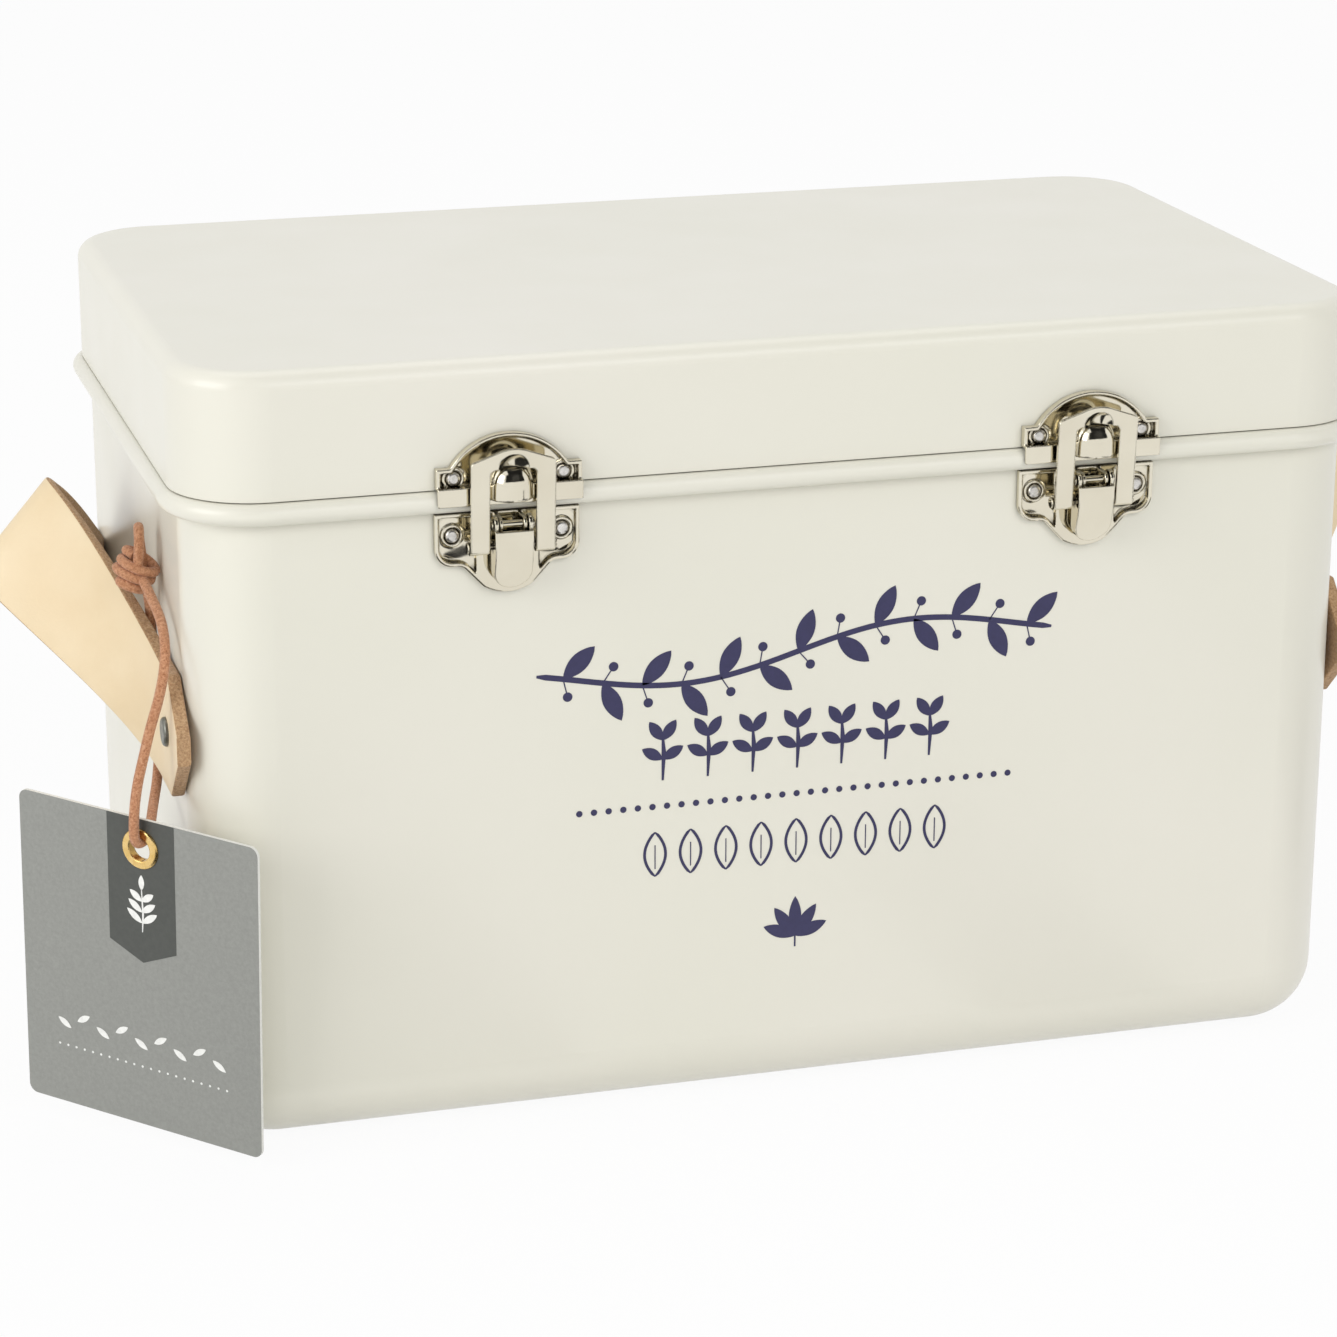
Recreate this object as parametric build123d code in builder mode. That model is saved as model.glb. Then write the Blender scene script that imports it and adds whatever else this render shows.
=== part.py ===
from build123d import *
import math
import os

os.makedirs("parts", exist_ok=True)

# Garden seed organizer box: a painted sheet steel box with a hinged lid, two draw latches,
# two riveted leather handles, a partition, twelve month cards and a swing tag on a leather lace.
# Millimetres, +Z up. The box stands on z = 0, its middle is x = y = 0 and its front faces -Y.

# ------------------------------------------------------------------ box and lid
BOX_WIDTH = 310.0            # body, outside, left to right
BOX_DEPTH = 181.0            # body, outside, front to back
BOX_HEIGHT = 204.5           # top of the closed lid
LID_RISE = 35.0              # from the middle of the rolled rim to the lid's top
RIM_HEIGHT = BOX_HEIGHT - LID_RISE
RIM_RADIUS = 2.8             # the rim is rolled round a wire
CORNER_RADIUS = 20.0         # upright corners of the body
BOTTOM_RADIUS = 18.0         # between the walls and the bottom
BOTTOM_LIP = 2.0             # the bottom's straight part, from its radius up to the seam with the walls
SHEET = 0.8                  # steel of the body and the lid
LID_OVERHANG = 2.2           # the lid's wall stands this far outside the body's wall
LID_EDGE_RADIUS = 4.5        # round the top of the lid
LID_SEAT_GAP = 0.3           # paint gap between the rim's crown and the lid
SKIRT_DEPTH = 6.0            # the lid's inner skirt reaches this far below its shoulder
SKIRT_GAP = 0.5              # between the skirt and the inside of the body

# ------------------------------------------------------------------ rivets and fits
RIVET_RADIUS = 1.2
RIVET_HEAD_RADIUS = 1.8
RIVET_HEAD_HEIGHT = 1.1
RIVET_TAIL_RADIUS = 1.7
RIVET_TAIL_HEIGHT = 0.7
RIVET_CLEARANCE = 0.05       # round a rivet's shank
RIVET_ROUND = 0.8            # share of a head's height that is rounded
PIN_CLEARANCE = 0.03         # a pin in the piece that holds it
RUNNING_CLEARANCE = 0.06     # a pin in the piece that turns on it

# ------------------------------------------------------------------ draw latches
LATCH_SPREAD = 153.0         # between the two latches' middles
LATCH_WIDTH = 36.8           # catch plate and base plate
LATCH_SHEET = 0.8
PLATE_RIM_WIDTH = 1.0        # raised edge round both plates
RIVET_BOSS_RADIUS = 2.9      # raised ring round each rivet of both plates
RIVET_BOSS_WIDTH = 0.8
RIVET_BOSS_HEIGHT = 0.5
LATCH_RIVET_SPREAD = 27.8    # between the two rivets of one plate

# catch plate, on the lid
CATCH_SHOULDER = RIM_HEIGHT + 8.8    # top of the two shoulders
CATCH_TOP = RIM_HEIGHT + 17.0        # top of the arch
CATCH_ARCH_RADIUS = 17.7
CATCH_RIM_RAISE = 2.6        # the raised edge stands this far off the lid
CATCH_RIVET_RISE = 1.9       # from the ledge's top to the rivets
LIP_GAP = 0.5                # between the rim and the plate's ledge and lip
LIP_DROP = 3.9               # the lip hangs this far below the ledge

# hooked nose on the catch plate
NOSE_RADIUS = 5.6            # dome
NOSE_CROWN_RADIUS = 3.9      # flat top, on which the frame pulls
NOSE_BOTTOM = RIM_HEIGHT + 0.9
NOSE_WIDEST = RIM_HEIGHT + 3.9
NOSE_TOP = RIM_HEIGHT + 8.8

# base plate, on the body
BASE_TOP = RIM_HEIGHT - 3.3
BASE_SHOULDER = RIM_HEIGHT - 16.9    # lower edge of the riveted part
BASE_BOTTOM = RIM_HEIGHT - 24.3      # lower edge of the tongue
BASE_CORNER = 4.5
BASE_TONGUE_WIDTH = 12.6     # at the foot of the slopes
BASE_TONGUE_ROOT = 23.0      # at the head of the slopes
BASE_TONGUE_SAG = 1.8        # the tongue's end bulges by this much
BASE_TONGUE_ROUND = 3.0
BASE_RAISE = 2.0             # raised edge and middle
BASE_MIDDLE_WIDTH = 16.0
BASE_RIVET_HEIGHT = RIM_HEIGHT - 9.1

# lever and its pivot
LEVER_PIVOT_OUT = 6.6        # off the body's wall
LEVER_PIVOT_HEIGHT = RIM_HEIGHT - 5.5
LEVER_WIDTH = 9.6
LEVER_SHEET = 0.9
LEVER_END = LEVER_PIVOT_HEIGHT - 16.8      # lowest point of the closed lever
LEVER_END_OUT = 5.0
LEVER_WAIST = LEVER_PIVOT_HEIGHT - 7.2     # where the lever starts to curl in
LEVER_CURL = LEVER_PIVOT_HEIGHT - 12.8
LEVER_CURL_IN = 1.8          # how far the front has come in there
LEVER_FACE_OUT = 2.6         # front of the lever, beyond its pivot
LEVER_FACE_DROP = 1.4        # the front starts this far below the pivot
LEVER_BOSS_RADIUS = 2.3
LEVER_TIP_RADIUS = 4.2
LATCH_PIN_RADIUS = 0.9
LATCH_PIN_HEAD_RADIUS = 1.4
LATCH_PIN_HEAD = 0.4
PIN_HEAD_GAP = 0.2           # under a pin's head
EAR_RADIUS = 1.9
EAR_SHEET = 0.9
EAR_GAP = 0.4                # between an ear and the lever's cheek

# frame, hung on the lever
THROW = 5.75                 # from the lever's pivot to the frame's pivot
THROW_ANGLE = 8.0            # the closed frame pivot lies this far past dead centre
FRAME_WIDTH = 21.4
FRAME_WINDOW = 11.8
FRAME_SHEET = 1.0
FRAME_LEAN = 4.0             # the closed frame leans out by this angle
FRAME_SHOULDER = 22.2        # up the frame, from its pivot
FRAME_SHOULDER_ROUND = 1.2
FRAME_CREST = 24.6           # where the slopes meet the rounded middle
FRAME_CREST_WIDTH = 8.0
FRAME_TOP = 25.4
FRAME_WINDOW_CORNER = 1.6
DIMPLE_WIDTH = 7.8           # pressed into the frame above the window, behind the nose's dome
DIMPLE_DEPTH = 1.4
NOSE_SEAT_GAP = 0.3          # between the nose's top and the frame's window

# ------------------------------------------------------------------ hinges, at the back
HINGE_SPREAD = 180.0
HINGE_WIDTH = 36.0
HINGE_SHEET = 1.0
HINGE_PIVOT_OUT = 7.6        # pin, off the body's back wall
HINGE_PIVOT_HEIGHT = RIM_HEIGHT + 1.0
HINGE_PIN_RADIUS = 1.1
HINGE_PIN_HEAD_RADIUS = 1.7
HINGE_PIN_HEAD = 0.6
HINGE_LEAF_HEIGHT = 14.0     # flat, riveted part of each leaf
HINGE_LID_FOOT = RIM_HEIGHT + 7.5    # lower edge of the flat part on the lid
HINGE_LID_BEND = RIM_HEIGHT + 4.1    # the lid's leaf bends in above this height
HINGE_BODY_HEAD = RIM_HEIGHT - 7.0   # upper edge of the flat part on the body
HINGE_BODY_BEND = RIM_HEIGHT - 2.5   # the body's leaf bends in below this height
HINGE_KNUCKLE_GAP = 0.4
HINGE_RIVET_SPREAD = 24.0
HINGE_CORNER = 2.5

# ------------------------------------------------------------------ leather handles
STRAP_WIDTH = 32.0
STRAP_THICKNESS = 3.5
STRAP_GAP = 0.3              # between the leather and the wall
HANDLE_HEIGHT = 107.5        # middle of the riveted ends
HANDLE_RIVET_SPREAD = BOX_DEPTH - 49.0     # between the two rivets of one handle
BOW_SPAN = HANDLE_RIVET_SPREAD - 12.0      # the strap leaves the wall over this depth
BOW_OUT = 29.6               # the middle of the bow stands out this far
BOW_RISE = 37.0              # the middle of the bow is pushed up this far
BOW_LEAN = 41.0              # the middle of the bow leans out by this angle
BOW_CREST = 5.0              # rounds the bow's middle
BOW_OUT_POWER = 1.7          # how the three grow towards the middle
BOW_RISE_POWER = 1.4
BOW_LEAN_POWER = 2.2
BOW_STATIONS = 16            # sections from one end of the bow to the other
BOW_CROWDING = 0.35          # how much closer together they are at the bow's middle
STRAP_STEP = 0.01            # over which the bow's direction is taken
STRAP_END = 22.0             # flat end beyond the bow
STRAP_END_CUT = 12.0         # clipped corners
STRAP_RIVET_RADIUS = 2.0
STRAP_HEAD_RADIUS = 3.8
STRAP_HEAD_HEIGHT = 1.2
BURR_RADIUS = 4.6
BURR_THICKNESS = 0.8

# ------------------------------------------------------------------ inside
PARTITION_SHEET = 0.8
PARTITION_TOP = RIM_HEIGHT - 29.5
PARTITION_GAP = 0.3          # round the partition's edges
PARTITION_CORNER = 3.0
CHANNEL_WIDTH = 6.0
CHANNEL_DEPTH = 7.0
CHANNEL_SHEET = 0.7
CHANNEL_FOOT = 24.0
CHANNEL_TOP = RIM_HEIGHT - 19.5
CARD_INNER_EDGE = 8.0        # from the box's middle to the cards
CARD_HEIGHT = RIM_HEIGHT - 27.5      # with its tab
CARD_TAB_HEIGHT = 16.0
CARD_TAB_WIDTH = 22.0
CARD_THICKNESS = 1.2
CARD_CORNER = 3.0
CARD_TAB_ROOT = 7.0          # the tab's outline reaches this far down behind the card's edge
CARD_GAP = 0.3               # between two cards
CARD_FOOT_ROOM = 19.5        # from the foot of the rearmost card to the back of the box
CARD_SIDE_GAP = 1.0          # from the flat floor's edge to the card
CARD_FLOOR_GAP = 0.05
CARDS_IN_ROW = 6             # in each compartment

# ------------------------------------------------------------------ swing tag and its lace
TAG_WIDTH = 72.6
TAG_HEIGHT = 85.5
TAG_THICKNESS = 0.9
TAG_CORNER = 2.5
TAG_TURN = 45.0              # turned from the front towards the left side
TAG_TILT = 2.3               # its face looks down by this angle
TAG_ROLL = 2.7               # its right side hangs down by this angle
TAG_TOP_MIDDLE = (-169.0, -80.0, 90.5)
EYELET_SIDE = 1.1            # right of the tag's middle
EYELET_DROP = 8.1            # below the tag's top edge
EYELET_BORE_RADIUS = 3.2
EYELET_BARREL = 0.5
EYELET_FLANGE_RADIUS = 5.4
EYELET_FLANGE = 0.7
EYELET_CLEARANCE = 0.05
LACE_DIAMETER = 2.6
LACE_ROUTE = [
    (-160.4, -47.0, 142.0),
    (-159.0, -56.5, 138.2),
    (-158.4, -65.5, 134.6),
    (-159.3, -73.0, 128.6),
    (-161.6, -76.3, 120.6),
    (-164.2, -75.8, 112.4),
    (-166.4, -76.2, 104.4),
    (-168.8, -79.4, 98.0),
    (-170.3, -82.8, 91.8),
    (-170.4, -82.5, 83.8),
    (-166.1, -78.2, 84.0),
    (-163.9, -69.6, 86.6),
    (-161.9, -61.0, 87.6),
    (-159.6, -52.4, 89.6),
    (-157.8, -45.8, 94.6),
    (-157.2, -41.6, 102.4),
    (-157.1, -39.2, 111.6),
    (-157.2, -38.2, 121.0),
    (-157.4, -37.8, 130.0),
    (-158.0, -38.6, 137.0),
    (-160.0, -40.4, 142.6),
]
LACE_RUN_SHARE = 0.45        # of the shorter run beside a corner
KNOT_MIDDLE = (-161.6, -43.0, 143.4)
KNOT_RADIUS = 5.0
KNOT_WRAPS = 4
BIGHT_RADIUS = 3.4
BIGHT_RISE = 12.4            # top of the small loop above the knot's middle

# ------------------------------------------------------------------ worked out from the above
FRONT = BOX_DEPTH / 2
SIDE = BOX_WIDTH / 2
INNER_WIDTH = BOX_WIDTH - 2 * SHEET
INNER_DEPTH = BOX_DEPTH - 2 * SHEET
INNER_CORNER = CORNER_RADIUS - SHEET
RIM_OFFSET = RIM_RADIUS - SHEET             # the rim curls outward from the inside of the wall
RIM_TOP = RIM_HEIGHT + RIM_RADIUS
RIM_OUT = RIM_OFFSET + RIM_RADIUS
LID_SEAT = RIM_TOP + LID_SEAT_GAP
LID_WIDTH = BOX_WIDTH + 2 * LID_OVERHANG
LID_DEPTH = BOX_DEPTH + 2 * LID_OVERHANG
LID_CORNER = CORNER_RADIUS + LID_OVERHANG
SKIRT_WIDTH = INNER_WIDTH - 2 * SKIRT_GAP
SKIRT_LENGTH = INNER_DEPTH - 2 * SKIRT_GAP
SKIRT_CORNER = INNER_CORNER - SKIRT_GAP

LEDGE = RIM_TOP + LIP_GAP
LIP_IN = RIM_OUT + LIP_GAP
LIP_OUT = LIP_IN + LATCH_SHEET
CATCH_RIVET_HEIGHT = LEDGE + LATCH_SHEET + CATCH_RIVET_RISE
FRAME_PIVOT_OUT = LEVER_PIVOT_OUT - THROW * math.sin(math.radians(THROW_ANGLE))
FRAME_PIVOT_HEIGHT = LEVER_PIVOT_HEIGHT - THROW * math.cos(math.radians(THROW_ANGLE))
FRAME_INSIDE = LATCH_PIN_RADIUS + RUNNING_CLEARANCE
FRAME_WINDOW_TOP = (NOSE_TOP + NOSE_SEAT_GAP - FRAME_PIVOT_HEIGHT) / math.cos(math.radians(FRAME_LEAN))
CHEEK_INSIDE = LEVER_WIDTH / 2 - LEVER_SHEET

KNUCKLE_BORE = HINGE_PIN_RADIUS + RUNNING_CLEARANCE
KNUCKLE_RADIUS = KNUCKLE_BORE + HINGE_SHEET
KNUCKLE_WIDTH = HINGE_WIDTH / 3
HINGE_LID_RIVET = HINGE_LID_FOOT + HINGE_LEAF_HEIGHT / 2
HINGE_BODY_RIVET = HINGE_BODY_HEAD - HINGE_LEAF_HEIGHT / 2

CARD_WIDTH = SIDE - BOTTOM_RADIUS - CARD_SIDE_GAP - CARD_INNER_EDGE
CARD_MIDDLE = CARD_INNER_EDGE + CARD_WIDTH / 2
CARD_BODY_HEIGHT = CARD_HEIGHT - CARD_TAB_HEIGHT
CARD_FOOT = FRONT - CARD_FOOT_ROOM
CARD_LEAN = math.asin((INNER_DEPTH / 2 - CARD_GAP - CARD_FOOT) / CARD_HEIGHT)
CARD_PITCH = (CARD_THICKNESS + CARD_GAP) / math.cos(CARD_LEAN)
TAB_STEP = (CARD_WIDTH - CARD_TAB_WIDTH) / (CARDS_IN_ROW - 1)

SIDES = {"left": -1, "right": 1}


def keep(piece, name):
    """Label a finished piece and write it out."""
    piece.part.label = name
    export_step(piece.part, f"parts/{name}.step")


def wall_plane(middle, out, back=False):
    """Upright plane along X, `out` beyond the body's front or back wall. Local y is the height."""
    facing = 1 if back else -1
    return Plane(origin=(middle, facing * (FRONT + out), 0), x_dir=(-facing, 0, 0), z_dir=(0, facing, 0))


def section_plane(middle, back=False):
    """Plane across X. Local x is the distance off the body's wall and local y is the height."""
    facing = 1 if back else -1
    return Plane(origin=(middle, facing * FRONT, 0), x_dir=(0, facing, 0), z_dir=(facing, 0, 0))


def side_plane(side, out):
    """Upright plane `out` beyond a side wall, side = -1 left or 1 right. Local y is the height."""
    return Plane(origin=(side * (SIDE + out), 0, 0), x_dir=(0, side, 0), z_dir=(side, 0, 0))


def pair(spread, height):
    """Two points side by side at one height."""
    return [(-spread / 2, height), (spread / 2, height)]


def make_rivets(name, plane, spread, height, grip, shank, head, head_height, tail, tail_height):
    """Two domed rivets with their heads on `plane`; `grip` is the thickness they hold."""
    with BuildPart() as rivets:
        with BuildSketch(plane):
            with Locations(pair(spread, height)):
                Circle(head)
        extrude(amount=head_height)
        crowns = rivets.faces().filter_by(lambda face: abs(face.normal_at().dot(plane.z_dir) - 1) < 0.001)
        fillet(crowns.edges(), head_height * RIVET_ROUND)
        with BuildSketch(plane):
            with Locations(pair(spread, height)):
                Circle(shank)
        extrude(amount=-grip)
        with BuildSketch(plane.offset(-grip)):
            with Locations(pair(spread, height)):
                Circle(tail)
        extrude(amount=-tail_height)
    keep(rivets, name)


def make_plate_rivets(name, plane, spread, height, grip):
    """The small rivets of latches and hinges."""
    make_rivets(name, plane, spread, height, grip, RIVET_RADIUS, RIVET_HEAD_RADIUS, RIVET_HEAD_HEIGHT,
                RIVET_TAIL_RADIUS, RIVET_TAIL_HEIGHT)


def make_pin(name, middle, out, height, radius, length, head_radius, head, back=False):
    """A straight pin along X with a head at each end; `length` is between the heads."""
    plane = section_plane(middle, back)
    with BuildPart() as pin:
        with BuildSketch(plane):
            with Locations((out, height)):
                Circle(radius)
        extrude(amount=length / 2, both=True)
        for end in (plane.offset(length / 2), plane.offset(-length / 2 - head)):
            with BuildSketch(end):
                with Locations((out, height)):
                    Circle(head_radius)
            extrude(amount=head)
    keep(pin, name)


# ================================================================== box body
def drilled(plane, spread, height, radius):
    """The two holes that a pair of rivets needs through the sheet whose outer face is `plane`."""
    with BuildPart() as holes:
        with BuildSketch(plane):
            with Locations(pair(spread, height)):
                Circle(radius + RIVET_CLEARANCE)
        extrude(amount=-2 * SHEET)
    return holes.part


latch_middles = {name: side * LATCH_SPREAD / 2 for name, side in SIDES.items()}
hinge_middles = {name: side * HINGE_SPREAD / 2 for name, side in SIDES.items()}
body_holes = []
lid_holes = []
for middle in latch_middles.values():
    lid_front = wall_plane(middle, LID_OVERHANG)
    body_holes.append(drilled(wall_plane(middle, 0), LATCH_RIVET_SPREAD, BASE_RIVET_HEIGHT, RIVET_RADIUS))
    lid_holes.append(drilled(lid_front, LATCH_RIVET_SPREAD, CATCH_RIVET_HEIGHT, RIVET_RADIUS))
for middle in hinge_middles.values():
    body_back = wall_plane(middle, 0, back=True)
    lid_back = wall_plane(middle, LID_OVERHANG, back=True)
    body_holes.append(drilled(body_back, HINGE_RIVET_SPREAD, HINGE_BODY_RIVET, RIVET_RADIUS))
    lid_holes.append(drilled(lid_back, HINGE_RIVET_SPREAD, HINGE_LID_RIVET, RIVET_RADIUS))
for side in SIDES.values():
    body_holes.append(drilled(side_plane(side, 0), HANDLE_RIVET_SPREAD, HANDLE_HEIGHT, STRAP_RIVET_RADIUS))

with BuildPart() as body:
    with BuildSketch():
        RectangleRounded(BOX_WIDTH, BOX_DEPTH, CORNER_RADIUS)
    extrude(amount=RIM_HEIGHT)
    fillet(body.faces().sort_by(Axis.Z)[0].edges(), BOTTOM_RADIUS)
    offset(amount=-SHEET, openings=body.faces().sort_by(Axis.Z)[-1])
seam = Plane.XY.offset(BOTTOM_RADIUS + BOTTOM_LIP)

# drawn bottom, welded to the walls
with BuildPart() as body_bottom:
    add(body.part)
    split(bisect_by=seam, keep=Keep.BOTTOM)
keep(body_bottom, "body_bottom")

# the walls, wrapped from one sheet
with BuildPart() as body_shell:
    add(body.part)
    split(bisect_by=seam, keep=Keep.TOP)
    for holes in body_holes:
        add(holes, mode=Mode.SUBTRACT)
keep(body_shell, "body_shell")

# rolled rim, closed round its wire, which stands on the body's edge and hugs its wall
with BuildPart() as body_rim:
    with BuildLine(Plane.XY.offset(RIM_HEIGHT)) as rim_line:
        rim_x = SIDE + RIM_OFFSET
        rim_y = FRONT + RIM_OFFSET
        FilletPolyline(
            (rim_x, rim_y), (rim_x, -rim_y), (-rim_x, -rim_y), (-rim_x, rim_y),
            radius=CORNER_RADIUS + RIM_OFFSET, close=True,
        )
    with BuildSketch(Plane(rim_line.line @ 0, z_dir=rim_line.line % 0)):
        Circle(RIM_RADIUS)
    sweep(path=rim_line.line)
    with BuildSketch():
        RectangleRounded(BOX_WIDTH, BOX_DEPTH, CORNER_RADIUS)
    extrude(amount=RIM_HEIGHT, mode=Mode.SUBTRACT)
keep(body_rim, "body_rim")

# ================================================================== lid
with BuildPart() as lid_shell:
    with BuildSketch(Plane.XY.offset(LID_SEAT)):
        RectangleRounded(LID_WIDTH, LID_DEPTH, LID_CORNER)
    extrude(amount=BOX_HEIGHT - LID_SEAT)
    fillet(lid_shell.faces().sort_by(Axis.Z)[-1].edges(), LID_EDGE_RADIUS)
    offset(amount=-SHEET, openings=lid_shell.faces().sort_by(Axis.Z)[0])
    # shoulder that rests on the rim
    with BuildSketch(Plane.XY.offset(LID_SEAT)):
        RectangleRounded(LID_WIDTH, LID_DEPTH, LID_CORNER)
        RectangleRounded(SKIRT_WIDTH - SHEET, SKIRT_LENGTH - SHEET, SKIRT_CORNER - SHEET / 2, mode=Mode.SUBTRACT)
    extrude(amount=SHEET)
    # skirt that centres the lid in the mouth
    with BuildSketch(Plane.XY.offset(LID_SEAT - SKIRT_DEPTH)):
        RectangleRounded(SKIRT_WIDTH, SKIRT_LENGTH, SKIRT_CORNER)
        offset(amount=-SHEET, mode=Mode.SUBTRACT)
    extrude(amount=SKIRT_DEPTH + SHEET)
    for holes in lid_holes:
        add(holes, mode=Mode.SUBTRACT)
keep(lid_shell, "lid_shell")


# ================================================================== draw latches
def nose_half():
    """Right half of the nose's silhouette, seen from the front."""
    with BuildSketch() as half:
        with BuildLine():
            flank = Spline(
                (NOSE_RADIUS, NOSE_WIDEST), (NOSE_CROWN_RADIUS, NOSE_TOP),
                tangents=[(0, 1), (-1, 1)],
            )
            Polyline(flank @ 1, (0, NOSE_TOP), (0, NOSE_BOTTOM), (NOSE_RADIUS, NOSE_BOTTOM), flank @ 0)
        make_face()
    return half.sketch


def rivet_bosses(plane, height):
    """Raised rings round the two rivets of a latch plate; `plane` is the plate's front."""
    with BuildPart() as bosses:
        with BuildSketch(plane):
            with Locations(pair(LATCH_RIVET_SPREAD, height)):
                Circle(RIVET_BOSS_RADIUS)
                Circle(RIVET_BOSS_RADIUS - RIVET_BOSS_WIDTH, mode=Mode.SUBTRACT)
        extrude(amount=RIVET_BOSS_HEIGHT)
    return bosses.part


def make_catch_plate(name, middle):
    """Arched plate on the lid with a raised edge, a lip over the rim and a hooked nose."""
    with BuildSketch() as arch:
        with Locations((0, CATCH_TOP - CATCH_ARCH_RADIUS)):
            Circle(CATCH_ARCH_RADIUS)
        with Locations((0, CATCH_SHOULDER)):
            Rectangle(LATCH_WIDTH, 2 * (CATCH_SHOULDER - LEDGE), align=(Align.CENTER, Align.MAX))
    with BuildSketch() as above_ledge:
        with Locations((0, LEDGE)):
            Rectangle(2 * LATCH_WIDTH, LATCH_WIDTH, align=(Align.CENTER, Align.MIN))
    with BuildPart() as plate:
        with BuildSketch(wall_plane(middle, LID_OVERHANG)):
            add(arch.sketch)
            add(above_ledge.sketch, mode=Mode.INTERSECT)
        extrude(amount=LATCH_SHEET)
        with BuildSketch(wall_plane(middle, LID_OVERHANG)):
            add(arch.sketch)
            offset(amount=-PLATE_RIM_WIDTH, mode=Mode.SUBTRACT)
            add(above_ledge.sketch, mode=Mode.INTERSECT)
        extrude(amount=CATCH_RIM_RAISE)
        add(rivet_bosses(wall_plane(middle, LID_OVERHANG + LATCH_SHEET), CATCH_RIVET_HEIGHT))
        # ledge over the rim's crown and lip down in front of it
        with BuildSketch(section_plane(middle)):
            with BuildLine():
                Polyline(
                    (LID_OVERHANG, LEDGE),
                    (LIP_IN, LEDGE),
                    (LIP_IN, LEDGE - LIP_DROP),
                    (LIP_OUT, LEDGE - LIP_DROP),
                    (LIP_OUT, LEDGE + LATCH_SHEET),
                    (LID_OVERHANG, LEDGE + LATCH_SHEET),
                    close=True,
                )
            make_face()
        extrude(amount=LATCH_WIDTH / 2, both=True)
        # the nose: round in front of the lip, straight back to the plate above the ledge
        with BuildSketch(wall_plane(middle, LIP_IN)):
            add(nose_half())
        revolve(axis=Axis((middle, -FRONT - LIP_IN, 0), (0, 0, -1)), revolution_arc=180)
        with BuildSketch(wall_plane(middle, LID_OVERHANG)):
            add(nose_half())
            mirror(about=Plane.YZ)
            add(above_ledge.sketch, mode=Mode.INTERSECT)
        extrude(amount=LIP_IN - LID_OVERHANG)
        with BuildSketch(wall_plane(middle, LID_OVERHANG)):
            with Locations(pair(LATCH_RIVET_SPREAD, CATCH_RIVET_HEIGHT)):
                Circle(RIVET_RADIUS + RIVET_CLEARANCE)
        extrude(amount=LATCH_SHEET, mode=Mode.SUBTRACT)
    keep(plate, name)


def base_outline():
    """Base plate seen from the front: riveted shoulders and a tongue on a pair of slopes."""
    half = LATCH_WIDTH / 2
    root = BASE_TONGUE_ROOT / 2
    foot = BASE_TONGUE_WIDTH / 2
    foot_height = BASE_BOTTOM + BASE_TONGUE_SAG
    with BuildSketch() as outline:
        with BuildLine():
            Polyline(
                (foot, foot_height),
                (root, BASE_SHOULDER),
                (half, BASE_SHOULDER),
                (half, BASE_TOP),
                (-half, BASE_TOP),
                (-half, BASE_SHOULDER),
                (-root, BASE_SHOULDER),
                (-foot, foot_height),
            )
            ThreePointArc((-foot, foot_height), (0, BASE_BOTTOM), (foot, foot_height))
        make_face()
        corners = outline.vertices().group_by(Axis.Y)
        shoulders = corners[1].sort_by(Axis.X)
        fillet([shoulders[0], shoulders[-1]], BASE_CORNER)
        slopes = [v for v in outline.vertices() if abs(abs(v.X) - root) < 0.01 or abs(abs(v.X) - foot) < 0.01]
        fillet(slopes, BASE_TONGUE_ROUND)
    return outline.sketch


def make_base_plate(name, middle):
    """Plate on the body with a raised edge and middle, and two ears that hold the lever's pin."""
    ear_middle = CHEEK_INSIDE - EAR_GAP - EAR_SHEET / 2
    with BuildPart() as plate:
        with BuildSketch(wall_plane(middle, 0)):
            add(base_outline())
        extrude(amount=LATCH_SHEET)
        with BuildSketch(wall_plane(middle, 0)):
            add(base_outline())
            offset(amount=-PLATE_RIM_WIDTH, mode=Mode.SUBTRACT)
        extrude(amount=BASE_RAISE)
        with BuildSketch(wall_plane(middle, 0)):
            with Locations((0, BASE_TOP)):
                Rectangle(BASE_MIDDLE_WIDTH, BASE_TOP - BASE_BOTTOM, align=(Align.CENTER, Align.MAX))
            add(base_outline(), mode=Mode.INTERSECT)
        extrude(amount=BASE_RAISE)
        add(rivet_bosses(wall_plane(middle, LATCH_SHEET), BASE_RIVET_HEIGHT))
        with BuildSketch(wall_plane(middle, 0)):
            with Locations(pair(LATCH_RIVET_SPREAD, BASE_RIVET_HEIGHT)):
                Circle(RIVET_RADIUS + RIVET_CLEARANCE)
        extrude(amount=LATCH_SHEET, mode=Mode.SUBTRACT)
        for ear in (-ear_middle, ear_middle):
            with BuildSketch(section_plane(middle + ear)):
                with Locations((BASE_RAISE / 2, LEVER_PIVOT_HEIGHT)):
                    Rectangle(LEVER_PIVOT_OUT - BASE_RAISE / 2, 2 * EAR_RADIUS, align=(Align.MIN, Align.CENTER))
                with Locations((LEVER_PIVOT_OUT, LEVER_PIVOT_HEIGHT)):
                    Circle(EAR_RADIUS)
                    Circle(LATCH_PIN_RADIUS + PIN_CLEARANCE, mode=Mode.SUBTRACT)
            extrude(amount=EAR_SHEET / 2, both=True)
    keep(plate, name)


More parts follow.
